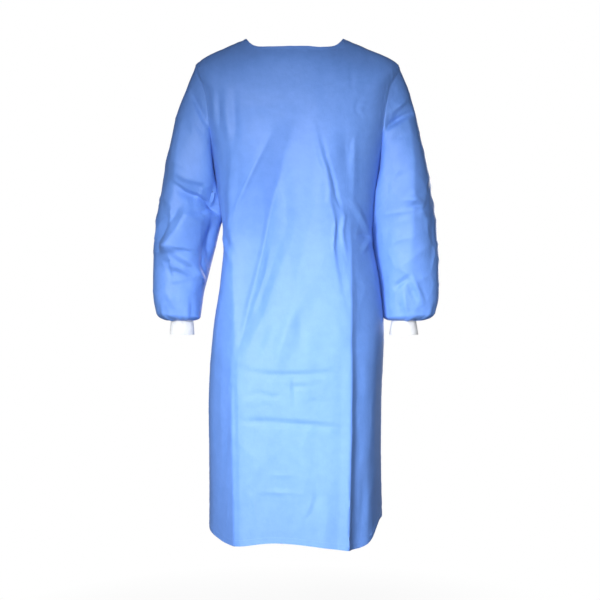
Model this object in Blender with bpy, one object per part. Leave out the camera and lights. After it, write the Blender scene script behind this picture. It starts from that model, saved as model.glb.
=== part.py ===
"""Surgical gown: a hollow, back-closing gown of non-woven cloth, in the form that it keeps when worn.

Metres, +Z up. The front faces -Y and the wearer's left is +X. The origin is the middle of the neck
opening, level with the neck ends of the two shoulder seams, where the wearer's shoulders carry it.
"""

import math

import bmesh
import bpy
import numpy as np

# ---------------------------------------------------------------- driving dimensions
CLOTH = 0.0018  # wall of the panels and sleeves
KNIT = 0.0020  # wall of the cuffs
TAPE = 0.0012  # wall of the ties and of the neck tab
SEAM_GAP = 0.0003  # between pieces that are sewn together
LAYER_GAP = 0.0012  # between layers that lie on each other
TIE_WIDTH = 0.030
TAB_WIDTH = 0.026
BACK_OVERLAP = 0.055  # how far each back panel runs past the centre back
CUFF_LENGTH = 0.044
CUFF_TUCKED = 0.010  # the length of cuff that is inside the sleeve's end

# ---------------------------------------------------------------- grid of the faceted cloth
YOKE_ROWS = 3  # neck to shoulder point
ARMHOLE_ROWS = 9  # shoulder point to underarm
SKIRT_ROWS = 14  # underarm to hem
# A panel's side columns narrow beside the armhole. The others keep their places down its whole length.
SIDE_COLUMNS = 3
FRONT_COLUMNS = 16  # between the side columns
BACK_COLUMNS = 7  # between the side columns and the overlap
OVERLAP_COLUMNS = 5
SLEEVE_ROWS = 15
CUFF_ROWS = 3
ACROSS_TAPE = 2

# ---------------------------------------------------------------- the torso's form
# One row for each loop round the body, from the neck's edge to the hem. A loop is a superellipse about
# (mid_x, mid_y). z_side is its height at the side seams, z_front and z_back at the centres.
TORSO_COLUMNS = ("z_side", "z_front", "z_back", "half_width", "front", "back", "mid_x", "mid_y", "square")
TORSO = (
    (0.000, -0.034, -0.010, 0.116, 0.085, 0.074, -0.003, 0.000, 2.6),  # neck edge
    (-0.021, -0.072, -0.050, 0.165, 0.107, 0.098, -0.003, 0.000, 2.5),  # half-way along the shoulder
    (-0.062, -0.125, -0.105, 0.241, 0.122, 0.116, 0.003, 0.000, 2.4),  # shoulder points
    (-0.120, -0.170, -0.160, 0.234, 0.130, 0.122, 0.003, 0.000, 2.6),
    (-0.195, -0.230, -0.225, 0.221, 0.134, 0.122, 0.002, 0.000, 2.7),
    (-0.300, -0.300, -0.300, 0.201, 0.134, 0.114, 0.002, 0.000, 2.5),  # underarm
    (-0.390, -0.390, -0.390, 0.187, 0.128, 0.102, 0.003, 0.000, 2.3),
    (-0.480, -0.480, -0.480, 0.177, 0.120, 0.094, 0.006, 0.002, 2.3),  # waist
    (-0.580, -0.580, -0.580, 0.190, 0.130, 0.118, 0.010, 0.006, 2.3),
    (-0.700, -0.700, -0.700, 0.205, 0.145, 0.140, 0.006, 0.014, 2.2),  # hip
    (-0.850, -0.850, -0.850, 0.208, 0.160, 0.150, -0.002, 0.026, 2.1),
    (-1.020, -1.020, -1.015, 0.208, 0.176, 0.150, -0.002, 0.038, 2.1),
    (-1.160, -1.160, -1.160, 0.210, 0.190, 0.146, -0.001, 0.048, 2.1),  # hem
)
SHOULDER_POINT = 2  # rows of the table
UNDERARM = 5
HEM = len(TORSO) - 1
ARMHOLE_FRONT = 28.0  # degrees cut away in front of the side, at mid height
ARMHOLE_BACK = 33.0  # and behind it
FRONT_STEADY = 55.0  # degrees from the middle at which the side columns begin
BACK_STEADY = 128.0
# The hem's line as (degrees round the body from the middle of the front, drop below the table's last row).
HEM_LINE = (
    (-180, 0.000),
    (-110, 0.005),
    (-78, 0.016),
    (-48, 0.028),
    (-32, 0.026),
    (-15, 0.015),
    (0, 0.018),
    (18, 0.027),
    (34, 0.036),
    (46, 0.033),
    (54, 0.022),
    (62, 0.000),
    (70, -0.014),
    (92, -0.012),
    (120, -0.003),
    (180, 0.000),
)
HEM_RAMP = 2.5  # table rows over which the loops bend to the hem's line

# ---------------------------------------------------------------- the sleeves' form
# One row for each loop round the arm. The loop's outer and inner ends are places in the plane y = mid_y,
# and half_depth is its reach in front and behind. swing is how far the row follows inner_swing below.
SLEEVE_COLUMNS = ("outer_x", "outer_z", "inner_x", "inner_z", "half_depth", "mid_y", "swing")
SLEEVE = (
    (0.2430, -0.0640, 0.2010, -0.2985, 0.080, 0.004, 0.0),  # armhole
    (0.2660, -0.1200, 0.2000, -0.3280, 0.079, 0.004, 0.0),
    (0.2845, -0.1780, 0.1965, -0.3550, 0.077, 0.005, 0.0),
    (0.2990, -0.2400, 0.1870, -0.3850, 0.074, 0.007, 0.0),
    (0.3140, -0.3080, 0.1810, -0.4200, 0.072, 0.010, 0.0),
    (0.3270, -0.3780, 0.1810, -0.4620, 0.071, 0.013, 0.25),
    (0.3365, -0.4450, 0.1870, -0.5080, 0.069, 0.014, 0.5),  # elbow
    (0.3420, -0.5100, 0.1950, -0.5550, 0.066, 0.012, 0.7),
    (0.3435, -0.5700, 0.2025, -0.6000, 0.062, 0.009, 0.9),
    (0.3420, -0.6200, 0.2065, -0.6400, 0.058, 0.006, 1.0),
    (0.3345, -0.6520, 0.2095, -0.6630, 0.052, 0.004, 1.0),  # the blouse over the cuff
)
SLEEVE_SQUARE = 2.3  # the loops' superellipse
SLEEVE_END_Z = -0.6730  # where the sleeve's turned-in end meets the cuff
SLEEVE_BLEND = 4.0  # rows over which the armhole's own outline fades into the loops
SLEEVE_CLEAR = 0.0026  # how far the sleeves keep from the torso
UNDERARM_CLEAR = 0.0012  # the same at the seam itself
ARM_SIDES = {
    "left": {"side": 1, "inner_swing": 0.0000, "cuff_x": 0.2590, "cuff_half": 0.0290, "flare": 1.22},
    "right": {"side": -1, "inner_swing": 0.0200, "cuff_x": 0.2737, "cuff_half": 0.0265, "flare": 1.14},
}
CUFF_DEPTH_SHARE = 1.05  # a cuff's depth over its width

# ---------------------------------------------------------------- the largest folds
# A fold is a ridge (or, with a negative rise, a trough) along a path of (x, z, rise) seen from the front
# or the back. to_left and to_right are its reach to the two sides of a path that runs down, and below
# and above one that runs towards +X. crisp is 0 for a round crest and 1 for a sharp one.
FOLD_COLUMNS = ("face", "to_left", "to_right", "crisp", "path")
TORSO_FOLDS = (
    ("front", 0.110, 0.060, 0.7, ((0.119, -0.38, 0.000), (0.118, -0.70, 0.018), (0.105, -1.20, 0.044))),
    ("front", 0.065, 0.095, 0.6, ((-0.143, -0.50, 0.000), (-0.137, -0.80, 0.018), (-0.122, -1.20, 0.040))),
    ("front", 0.090, 0.090, 0.2, ((0.005, -0.52, 0.000), (-0.005, -0.85, -0.012), (-0.010, -1.20, -0.028))),
    ("front", 0.045, 0.060, 0.4, ((-0.045, -0.20, 0.000), (-0.118, -0.38, 0.009), (-0.148, -0.60, 0.000))),
    ("front", 0.050, 0.060, 0.4, ((-0.014, -0.22, 0.000), (-0.060, -0.45, 0.010), (-0.125, -0.78, 0.000))),
    ("front", 0.045, 0.045, 0.5, ((0.030, -0.20, 0.000), (0.068, -0.40, -0.009), (0.092, -0.64, 0.000))),
    ("front", 0.030, 0.030, 0.4, ((0.128, -0.20, 0.000), (0.125, -0.40, 0.009), (0.122, -0.62, 0.000))),
    ("back", 0.045, 0.045, 0.3, ((-0.110, -0.38, 0.000), (-0.125, -0.60, 0.010), (-0.130, -1.20, 0.020))),
    ("back", 0.040, 0.050, 0.3, ((-0.030, -0.36, 0.000), (-0.030, -0.60, 0.006), (-0.035, -1.20, 0.012))),
    ("back", 0.050, 0.045, 0.3, ((0.070, -0.38, 0.000), (0.082, -0.60, 0.009), (0.090, -1.20, 0.019))),
    ("back", 0.045, 0.045, 0.3, ((-0.115, -0.16, 0.000), (-0.085, -0.32, 0.008), (-0.060, -0.50, 0.000))),
    ("back", 0.045, 0.045, 0.3, ((0.125, -0.18, 0.000), (0.102, -0.34, 0.008), (0.080, -0.50, 0.000))),
)
SLEEVE_FOLDS = {
    "left": (
        ("front", 0.040, 0.045, 0.5, ((0.275, -0.18, 0.004), (0.277, -0.39, 0.008), (0.268, -0.60, 0.003))),
        ("front", 0.022, 0.022, 0.5, ((0.216, -0.21, -0.008), (0.25, -0.19, -0.006), (0.275, -0.16, 0.0))),
        ("back", 0.040, 0.040, 0.4, ((0.290, -0.30, 0.003), (0.265, -0.42, 0.009), (0.235, -0.50, 0.003))),
    ),
    "right": (
        ("front", 0.04, 0.04, 0.6, ((-0.302, -0.51, 0.006), (-0.253, -0.41, 0.010), (-0.215, -0.38, 0.004))),
        ("front", 0.035, 0.035, 0.6, ((-0.302, -0.51, 0.005), (-0.27, -0.56, 0.008), (-0.245, -0.59, 0.002))),
        ("back", 0.04, 0.04, 0.4, ((-0.29, -0.32, 0.003), (-0.265, -0.43, 0.009), (-0.235, -0.52, 0.003))),
    ),
}

# ---------------------------------------------------------------- closures on the back
# A tape's path is (x, z, lift): its places seen from behind, and its height off the torso's form.
TAPE_COLUMNS = ("name", "width", "rows", "path")
TAPES = (
    (
        "waist_tie_left", TIE_WIDTH, 10,
        ((0.166, -0.466, 0.003), (0.08, -0.48, 0.007), (0.0195, -0.486, 0.009)),
    ),
    (
        "waist_tie_right", TIE_WIDTH, 10,
        ((-0.152, -0.466, 0.003), (-0.08, -0.48, 0.006), (-0.0175, -0.486, 0.009)),
    ),
    ("tie_end_left", TIE_WIDTH, 9, ((0.008, -0.505, 0.008), (0.022, -0.56, 0.006), (0.03, -0.735, 0.005))),
    ("tie_end_right", TIE_WIDTH, 9, ((-0.006, -0.505, 0.014), (-0.016, -0.56, 0.009), (-0.028, -0.7, 0.006))),
    ("neck_tab", TAB_WIDTH, 4, ((-0.022, -0.032, 0.0045), (-0.096, -0.032, 0.0045))),
)
KNOT_PLACE = (0.001, -0.486)
KNOT_LIFT = 0.0148
KNOT_HALF_SIZE = (0.0165, 0.0095, 0.0180)

SIDE = math.pi / 2  # angles round the torso: 0 front, SIDE the wearer's left, BACK the centre back
BACK = math.pi
STEP = 1e-4  # for slopes by difference


# ---------------------------------------------------------------- curves and folds
def smooth(value):
    """0 to 1 with level ends."""
    share = np.clip(value, 0.0, 1.0)
    return share * share * (3.0 - 2.0 * share)


def between(table, at, column):
    """One column of a table at fractional rows, on a Catmull-Rom curve through its values."""
    values = np.array([row[column] for row in table])
    padded = np.concatenate([[2 * values[0] - values[1]], values, [2 * values[-1] - values[-2]]])
    row = np.clip(np.floor(at).astype(int), 0, len(values) - 2)
    share = at - row
    before, start, end, after = (padded[row + i] for i in range(4))
    return start + 0.5 * share * (
        end - before
        + share * (2 * before - 5 * start + 4 * end - after + share * (3 * (start - end) + after - before))
    )


def unit(vectors):
    return vectors / np.maximum(np.linalg.norm(vectors, axis=-1, keepdims=True), 1e-12)


def along_path(points, path):
    """Signed distance from a path of (x, z, rise), positive to its left going down, and its rise there."""
    nodes = np.array(path)
    best = np.full(points.shape[:-1], 1e9)
    signed = np.zeros_like(best)
    rise = np.zeros_like(best)
    for start, end in zip(nodes[:-1], nodes[1:]):
        run = end[:2] - start[:2]
        share = np.clip(((points - start[:2]) @ run) / (run @ run), 0.0, 1.0)
        away = points - start[:2] - share[..., None] * run
        distance = np.linalg.norm(away, axis=-1)
        nearer = distance < best
        side = np.sign(run[0] * away[..., 1] - run[1] * away[..., 0])
        best = np.where(nearer, distance, best)
        signed = np.where(nearer, side * distance, signed)
        rise = np.where(nearer, start[2] + share * (end[2] - start[2]), rise)
    return signed, rise


def fold_rise(folds, points, normals):
    """How far the folds lift each point of a surface along its normal."""
    total = np.zeros(points.shape[:-1])
    flat = points[..., [0, 2]]
    for row in folds:
        fold = dict(zip(FOLD_COLUMNS, row))
        signed, rise = along_path(flat, fold["path"])
        reach = np.where(signed < 0, fold["to_left"], fold["to_right"])
        tent = np.clip(1.0 - np.abs(signed) / reach, 0.0, 1.0)
        facing = -normals[..., 1] if fold["face"] == "front" else normals[..., 1]
        profile = (1.0 - fold["crisp"]) * smooth(tent) + fold["crisp"] * tent
        total += rise * profile * smooth(facing / 0.5)
    return total


# ---------------------------------------------------------------- torso
def torso_row(at):
    return {name: between(TORSO, at, i) for i, name in enumerate(TORSO_COLUMNS)}


def torso_form(at, angle):
    """Points of the torso's smooth form at fractional table rows and angles round the body."""
    row = torso_row(at)
    across, ahead = np.sin(angle), np.cos(angle)
    power = 2.0 / row["square"]
    depth = np.where(ahead > 0, row["front"], row["back"])
    x = row["mid_x"] + row["half_width"] * np.sign(across) * np.abs(across) ** power
    y = row["mid_y"] - depth * np.sign(ahead) * np.abs(ahead) ** power
    # A loop near the neck stays low across its front and climbs steeply beside it.
    steepness = 3.0 + 3.0 * np.clip(1.0 - at / SHOULDER_POINT, 0.0, 1.0)
    middle = np.where(ahead > 0, row["z_front"], row["z_back"])
    z = row["z_side"] + (middle - row["z_side"]) * (1.0 - np.abs(across) ** steepness)
    return np.stack([x, y, z], axis=-1)


def row_at(z, angle):
    """The fractional row where the torso's form is at height z."""
    high = np.zeros_like(z)
    low = np.full_like(z, float(HEM))
    for _ in range(20):
        at = (high + low) / 2.0
        above = torso_form(at, angle)[..., 2] > z
        high = np.where(above, at, high)
        low = np.where(above, low, at)
    return at


def on_back(x, z, lift):
    """Points on the back of the torso at places seen from behind."""
    angle = np.full_like(x, BACK)
    for _ in range(6):
        at = row_at(z, angle)
        row = torso_row(at)
        across = np.clip((x - row["mid_x"]) / row["half_width"], -1.0, 1.0)
        angle = BACK - np.arcsin(np.sign(across) * np.abs(across) ** (row["square"] / 2.0))
    return torso_surface(at, angle, lift)[0]


def torso_normal(at, angle):
    """Outward unit normals of the torso's smooth form."""
    inside = np.clip(at, STEP, HEM - STEP)
    down = torso_form(inside + STEP, angle) - torso_form(inside - STEP, angle)
    round_ = torso_form(at, angle + STEP) - torso_form(at, angle - STEP)
    return unit(np.cross(down, round_))


def torso_surface(at, angle, lift=0.0):
    """The cloth's outer points on the torso, with its folds, and the normals that they were lifted on."""
    points = torso_form(at, angle)
    normals = torso_normal(at, angle)
    rise = fold_rise(TORSO_FOLDS, points, normals)
    lifted = points + normals * (rise + lift)[..., None]
    lifted[..., 2] -= hem_drop(angle) * np.clip((at - HEM) / HEM_RAMP + 1.0, 0.0, 1.0) ** 2
    return lifted, normals


def hem_drop(angle):
    """The hem line's drop at angles round the body, with softened corners."""
    degrees, drop = np.array(HEM_LINE).T
    turned = (np.degrees(angle) + 180.0) % 360.0 - 180.0
    shifts = (-6.0, -3.0, 0.0, 3.0, 6.0)
    return sum(np.interp(turned + shift, degrees, drop, period=360) for shift in shifts) / len(shifts)


def armhole_turn():
    """Angle round the armhole, 0 at the shoulder point and pi at the underarm, for each row between."""
    return np.linspace(0.0, math.pi, ARMHOLE_ROWS + 1)


def torso_rows():
    """Fractional table rows of the grid. The armhole's rows are spaced as points of a circle are."""
    yoke = np.linspace(0.0, SHOULDER_POINT, YOKE_ROWS + 1)
    armhole = SHOULDER_POINT + (UNDERARM - SHOULDER_POINT) * (1.0 - np.cos(armhole_turn())) / 2.0
    skirt = np.linspace(UNDERARM, HEM, SKIRT_ROWS + 1)
    return np.concatenate([yoke, armhole[1:], skirt[1:]])


def armhole_cut(degrees):
    """How far round from the side each row of the grid stops, where the armhole is cut out."""
    cut = np.zeros(YOKE_ROWS + ARMHOLE_ROWS + SKIRT_ROWS + 1)
    cut[YOKE_ROWS:YOKE_ROWS + ARMHOLE_ROWS + 1] = math.radians(degrees) * np.sin(armhole_turn())
    return cut


def seam_inset(at, angle):
    """The angle that is half a seam's gap wide at each point."""
    width = torso_form(at, angle + STEP) - torso_form(at, angle - STEP)
    return SEAM_GAP / 2 * (2 * STEP) / np.linalg.norm(width, axis=-1)


def wall_below(outer, normals, thickness):
    return outer - normals * thickness


def columns_between(start, end, count):
    """The angles of columns from start to end, for each row."""
    return start[:, None] + (end - start)[:, None] * np.linspace(0.0, 1.0, count + 1)


def front_panel():
    rows = torso_rows()
    cut = armhole_cut(ARMHOLE_FRONT)
    edge = SIDE - cut
    edge = edge - np.where(cut > 1e-6, 2.0, 1.0) * seam_inset(rows, edge)
    steady = np.full_like(edge, math.radians(FRONT_STEADY))
    left = columns_between(steady, edge, SIDE_COLUMNS)
    middle = columns_between(-steady, steady, FRONT_COLUMNS)
    angle = np.concatenate([-left[:, :0:-1], middle, left[:, 1:]], axis=1)
    outer, normals = torso_surface(np.broadcast_to(rows[:, None], angle.shape), angle)
    return cloth_wall("front_panel", outer, wall_below(outer, normals, CLOTH), "gown_cloth")


def back_panel(side):
    """One back panel, side seam to the far edge of the overlap. The left one lies on the right one."""
    rows = torso_rows()
    cut = armhole_cut(ARMHOLE_BACK)
    edge = SIDE + cut
    edge = edge + np.where(cut > 1e-6, 2.0, 1.0) * seam_inset(rows, edge)
    row = torso_row(rows)
    overlap = np.arcsin((BACK_OVERLAP / row["half_width"]) ** (row["square"] / 2.0))
    steady = np.full_like(edge, math.radians(BACK_STEADY))
    beside = columns_between(edge, steady, SIDE_COLUMNS)
    middle = columns_between(steady, BACK - overlap, BACK_COLUMNS)
    over = columns_between(BACK - overlap, BACK + overlap, OVERLAP_COLUMNS)
    angle = np.concatenate([beside[:, :-1], middle, over[:, 1:]], axis=1)
    lift = np.zeros_like(angle)
    if side == "left":
        rise = (np.arange(angle.shape[1]) - (SIDE_COLUMNS + BACK_COLUMNS - 4)) / 3.0
        lift += (CLOTH + LAYER_GAP) * smooth(rise)
    else:
        angle = 2 * BACK - angle
    outer, normals = torso_surface(np.broadcast_to(rows[:, None], angle.shape), angle, lift)
    return cloth_wall(f"back_panel_{side}", outer, wall_below(outer, normals, CLOTH), "gown_cloth")


# ---------------------------------------------------------------- sleeves and cuffs
def armhole_ring(side):
    """The armhole's outline on the torso, from the shoulder point down the front and up the back."""
    turn = armhole_turn()
    at = SHOULDER_POINT + (UNDERARM - SHOULDER_POINT) * (1.0 - np.cos(turn)) / 2.0
    front = side * (SIDE - math.radians(ARMHOLE_FRONT) * np.sin(turn))
    back = side * (SIDE + math.radians(ARMHOLE_BACK) * np.sin(turn))
    at = np.concatenate([at, at[-2:0:-1]])
    angle = np.concatenate([front, back[-2:0:-1]])
    return torso_surface(at, angle)


def ring_turns(count):
    """Angles round the arm: 0 on its outer side, pi / 2 in front, pi against the body."""
    return np.arange(count) * 2 * math.pi / count


def sleeve_loops(arm, at, turns):
    """Loops round the arm at fractional rows of the sleeve's table, with no folds."""
    row = {name: between(SLEEVE, at, i) for i, name in enumerate(SLEEVE_COLUMNS)}
    inner_x = row["inner_x"] + arm["inner_swing"] * row["swing"]
    outer_end = np.stack([row["outer_x"], row["mid_y"], row["outer_z"]], axis=-1)
    inner_end = np.stack([inner_x, row["mid_y"], row["inner_z"]], axis=-1)
    middle = (outer_end + inner_end) / 2
    reach = (outer_end - inner_end) / 2
    ahead = np.stack([0 * inner_x, -row["half_depth"], 0 * inner_x], axis=-1)
    power = 2.0 / SLEEVE_SQUARE
    across = np.sign(np.cos(turns)) * np.abs(np.cos(turns)) ** power
    forward = np.sign(np.sin(turns)) * np.abs(np.sin(turns)) ** power
    loop = middle + reach * across[..., None] + ahead * forward[..., None]
    loop[..., 0] *= arm["side"]
    return loop


def torso_reach(side, y, z):
    """How far from the middle plane the torso's surface is at places level with its side."""
    angle = np.full_like(y, side * SIDE)
    for _ in range(6):
        at = row_at(z, angle)
        row = torso_row(at)
        depth = np.where(y < row["mid_y"], row["front"], row["back"])
        ahead = np.clip((row["mid_y"] - y) / depth, -1.0, 1.0)
        angle = side * (SIDE - np.arcsin(np.sign(ahead) * np.abs(ahead) ** (row["square"] / 2.0)))
    return side * torso_form(at, angle)[..., 0]


def keep_clear(arm, form):
    """The sleeve's loops moved out to where they clear the torso's side, by less near the armhole."""
    clear = SLEEVE_CLEAR * smooth(np.arange(len(form)) / 1.5)[:, None]
    least = torso_reach(arm["side"], form[..., 1], form[..., 2]) + clear
    out = form[..., 0] * arm["side"]
    form[..., 0] = arm["side"] * np.maximum(out, least)
    return form


def sleeve_form(arm, at, turns, ring):
    """The loops, with the armhole's own outline fading into them over the first rows."""
    start = sleeve_loops(arm, np.zeros_like(at), turns)
    fade = (1.0 - smooth(at / SLEEVE_BLEND))[..., None]
    return sleeve_loops(arm, at, turns) + fade * (ring - start)


def end_loops(arm, turns, shares):
    """The sleeve's end, turned in from its last loop to just outside the cuff."""
    last = sleeve_loops(arm, np.full_like(turns, len(SLEEVE) - 1.0), turns)
    mouth = cuff_loop(arm, turns, SEAM_GAP, SLEEVE_END_Z)
    loops = []
    for share in shares:
        loop = last + (mouth - last) * share
        # The cloth rounds down before it runs in to the cuff.
        loop[..., 2] = last[..., 2] + (SLEEVE_END_Z - last[..., 2]) * math.sin(share * math.pi / 2) ** 0.5
        loops.append(loop)
    return np.stack(loops)


def cuff_loop(arm, turns, grow, z):
    """A loop round the wrist, grow metres outside the cuff's outer face, at height z."""
    down = np.clip((SLEEVE_END_Z - z) / (CUFF_LENGTH - CUFF_TUCKED), 0.0, 1.0)
    half = arm["cuff_half"] * (1.0 + (arm["flare"] - 1.0) * down) + grow
    x = arm["side"] * (arm["cuff_x"] + half * np.cos(turns))
    y = SLEEVE[-1][5] - (half * CUFF_DEPTH_SHARE) * np.sin(turns)
    return np.stack([x, y, np.full_like(x, z)], axis=-1)


def grid_normals(points, side):
    """Outward unit normals of a grid of loops, from the differences between its points."""
    down = np.gradient(points, axis=0)
    round_ = np.roll(points, -1, axis=1) - np.roll(points, 1, axis=1)
    return unit(np.cross(down, round_)) * -side


def sleeve(side_name):
    arm = ARM_SIDES[side_name]
    ring, ring_normals = armhole_ring(arm["side"])
    count = ring.shape[0]
    turns = ring_turns(count)
    # The first loop leaves the armhole's edge by a seam's gap, and stands off the torso at the underarm.
    under = smooth((-np.cos(turns) - 0.2) / 0.8)
    outward = np.array([arm["side"] * UNDERARM_CLEAR, 0.0, 0.0006])
    rows = np.linspace(0.0, len(SLEEVE) - 1.0, SLEEVE_ROWS - 2)
    at, turn = np.broadcast_arrays(rows[:, None], turns[None, :])
    form = sleeve_form(arm, at, turn, ring + under[:, None] * outward)
    onward = unit(form[1] - form[0])
    form[0] += onward * SEAM_GAP
    form[1:] = keep_clear(arm, form)[1:]
    form = np.concatenate([form, end_loops(arm, turns, (0.22, 0.6, 1.0))])
    normals = grid_normals(form, arm["side"])
    rise = fold_rise(SLEEVE_FOLDS[side_name], form, normals)
    row = np.arange(len(form))[:, None]
    rise *= smooth(row / 3.0) * smooth((len(form) - 3.0 - row) / 2.0)
    outer = form + normals * rise[..., None]
    # At the seam the sleeve's wall lies along the torso's at the shoulder and along its own underneath.
    own = smooth((-np.cos(turns) + 0.3) / 0.6)[:, None]
    normals[0] = unit((1.0 - own) * ring_normals + own * normals[0])
    normals[-1] = (0.0, 0.0, -1.0)
    inner = wall_below(outer, normals, CLOTH)
    return cloth_wall(f"sleeve_{side_name}", outer, inner, "gown_cloth", closed=True)


def cuff(side_name):
    arm = ARM_SIDES[side_name]
    turns = ring_turns(2 * ARMHOLE_ROWS)
    heights = SLEEVE_END_Z - np.linspace(0.0, CUFF_LENGTH - CUFF_TUCKED, CUFF_ROWS)
    heights = np.concatenate([[SLEEVE_END_Z + CUFF_TUCKED], heights])
    outer = np.stack([cuff_loop(arm, turns, 0.0, z) for z in heights])
    inner = np.stack([cuff_loop(arm, turns, -KNIT, z) for z in heights])
    return cloth_wall(f"cuff_{side_name}", outer, inner, "knit_cuff", closed=True)


# ---------------------------------------------------------------- closures
def flat_tape(row):
    tape = dict(zip(TAPE_COLUMNS, row))
    nodes = np.array(tape["path"])
    lengths = np.concatenate([[0.0], np.cumsum(np.linalg.norm(np.diff(nodes[:, :2], axis=0), axis=1))])
    steps = np.linspace(0.0, lengths[-1], tape["rows"] + 1)
    line = np.stack([np.interp(steps, lengths, nodes[:, i]) for i in range(3)], axis=-1)
    ahead = np.gradient(line[:, :2], axis=0)
    ahead /= np.linalg.norm(ahead, axis=1, keepdims=True)
    across = np.stack([-ahead[:, 1], ahead[:, 0]], axis=-1)
    share = np.linspace(-0.5, 0.5, ACROSS_TAPE + 1)[None, :] * tape["width"]
    x = line[:, 0:1] + across[:, 0:1] * share
    z = line[:, 1:2] + across[:, 1:2] * share
    lift = np.broadcast_to(line[:, 2:3], x.shape)
    inner = on_back(x, z, lift)
    outer = on_back(x, z, lift + TAPE)
    return cloth_wall(tape["name"], outer, inner, "tie_tape")


def waist_knot():
    """The lump where the two ties are knotted."""
    middle = on_back(np.array([KNOT_PLACE[0]]), np.array([KNOT_PLACE[1]]), np.array([KNOT_LIFT]))[0]
    mesh = bmesh.new()
    bmesh.ops.create_uvsphere(mesh, u_segments=16, v_segments=10, radius=1.0)
    for vert in mesh.verts:
        shaped = [math.copysign(abs(value) ** 0.8, value) for value in vert.co]
        vert.co = [place + value * half for place, value, half in zip(middle, shaped, KNOT_HALF_SIZE)]
    return finish("waist_knot", mesh, "tie_tape")


# ---------------------------------------------------------------- building
def material(name, colour, roughness):
    made = bpy.data.materials.new(name)
    made.use_nodes = True
    shader = made.node_tree.nodes["Principled BSDF"]
    shader.inputs["Base Color"].default_value = (*colour, 1.0)
    shader.inputs["Roughness"].default_value = roughness
    shader.inputs["Metallic"].default_value = 0.0
    return made


MATERIALS = {
    "gown_cloth": ((0.13, 0.33, 0.78), 0.65),
    "knit_cuff": ((0.88, 0.89, 0.90), 0.85),
    "tie_tape": ((0.15, 0.36, 0.80), 0.65),
}


def cloth_wall(name, outer, inner, finish_name, closed=False):
    """A wall of cloth: a loft through rows of outer points, another through the inner ones, and rims.

    A closed wall's rows are loops, and an open wall's rows end in rims along its two sides.
    """
    rows, columns = outer.shape[:2]
    mesh = bmesh.new()
    layers = [[[mesh.verts.new(point) for point in row] for row in layer] for layer in (outer, inner)]
    front, behind = layers

    def quad(a, b, c, d):
        mesh.faces.new((a, b, c))
        mesh.faces.new((a, c, d))

    spans = [(c, (c + 1) % columns) for c in range(columns if closed else columns - 1)]
    for r in range(rows - 1):
        for c, d in spans:
            quad(front[r][c], front[r + 1][c], front[r + 1][d], front[r][d])
            quad(behind[r][c], behind[r][d], behind[r + 1][d], behind[r + 1][c])
    for r in (0, rows - 1):
        for c, d in spans:
            quad(front[r][c], front[r][d], behind[r][d], behind[r][c])
    if not closed:
        for c in (0, columns - 1):
            for r in range(rows - 1):
                quad(front[r][c], front[r + 1][c], behind[r + 1][c], behind[r][c])
    return finish(name, mesh, finish_name)


def finish(name, mesh, finish_name):
    """The mesh made an object of the gown, with its own material."""
    bmesh.ops.recalc_face_normals(mesh, faces=mesh.faces)
    data = bpy.data.meshes.new(name)
    mesh.to_mesh(data)
    mesh.free()
    data.shade_smooth()
    data.set_sharp_from_angle(angle=math.radians(50))
    made = bpy.data.objects.new(name, data)
    data.materials.append(material(name, *MATERIALS[finish_name]))
    bpy.data.collections["surgical_gown"].objects.link(made)
    return made


def main():
    for old in list(bpy.data.objects):
        bpy.data.objects.remove(old)
    collection = bpy.data.collections.new("surgical_gown")
    bpy.context.scene.collection.children.link(collection)
    front_panel()
    for side in ("left", "right"):
        back_panel(side)
        sleeve(side)
        cuff(side)
    for row in TAPES:
        flat_tape(row)
    waist_knot()


main()
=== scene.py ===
"""Surgical gown: the look of its cloth, knit and tapes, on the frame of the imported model.

Metres, +Z up. The front faces -Y and the wearer's left is +X. The torso's tables are those of the CAD
part, and the sleeves' are close to it. They are drawn here on finer grids, with folds of other depths and
with the creases, seams and stitches that the cloth shows.
"""

import math

import bpy
import numpy as np
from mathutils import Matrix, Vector, kdtree, noise


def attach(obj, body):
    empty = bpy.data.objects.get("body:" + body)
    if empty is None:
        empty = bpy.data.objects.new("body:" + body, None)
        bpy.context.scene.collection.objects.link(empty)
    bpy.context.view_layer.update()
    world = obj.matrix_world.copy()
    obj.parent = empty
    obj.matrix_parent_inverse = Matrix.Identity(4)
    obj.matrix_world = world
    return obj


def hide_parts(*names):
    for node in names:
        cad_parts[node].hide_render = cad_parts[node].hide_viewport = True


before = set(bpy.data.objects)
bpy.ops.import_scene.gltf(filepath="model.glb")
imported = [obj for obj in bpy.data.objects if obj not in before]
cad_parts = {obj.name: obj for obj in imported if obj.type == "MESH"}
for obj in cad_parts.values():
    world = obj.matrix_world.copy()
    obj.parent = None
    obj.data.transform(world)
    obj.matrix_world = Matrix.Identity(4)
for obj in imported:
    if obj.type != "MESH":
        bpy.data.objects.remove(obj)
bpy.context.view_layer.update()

# ---------------------------------------------------------------- sizes of the pieces
SEAM_GAP = 0.00005  # between pieces that are sewn together, which the stitches pull shut
CUFF_GAP = 0.0003  # between a cuff and the sleeve's turned-in end
LAYER_LIFT = 0.0030  # the left back panel over the right one
TIE_WIDTH = 0.030
TAB_WIDTH = 0.026
BACK_OVERLAP = 0.055  # how far each back panel runs past the centre back
CUFF_LENGTH = 0.044
CUFF_TUCKED = 0.010  # the length of cuff that is inside the sleeve's end

CLOTH = 0.0009  # wall of the drawn cloth
KNIT = 0.0018
TAPE = 0.0010
STITCH = 0.0027  # a stitch's length
STITCH_PITCH = 0.0038
STITCH_PROFILE = ((-0.5, 0.15), (-0.3, 0.9), (0.0, 1.0), (0.3, 0.9), (0.5, 0.15))  # share along, girth
THREAD = 0.00032  # the thread's radius
THREAD_SIDES = 6
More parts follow.
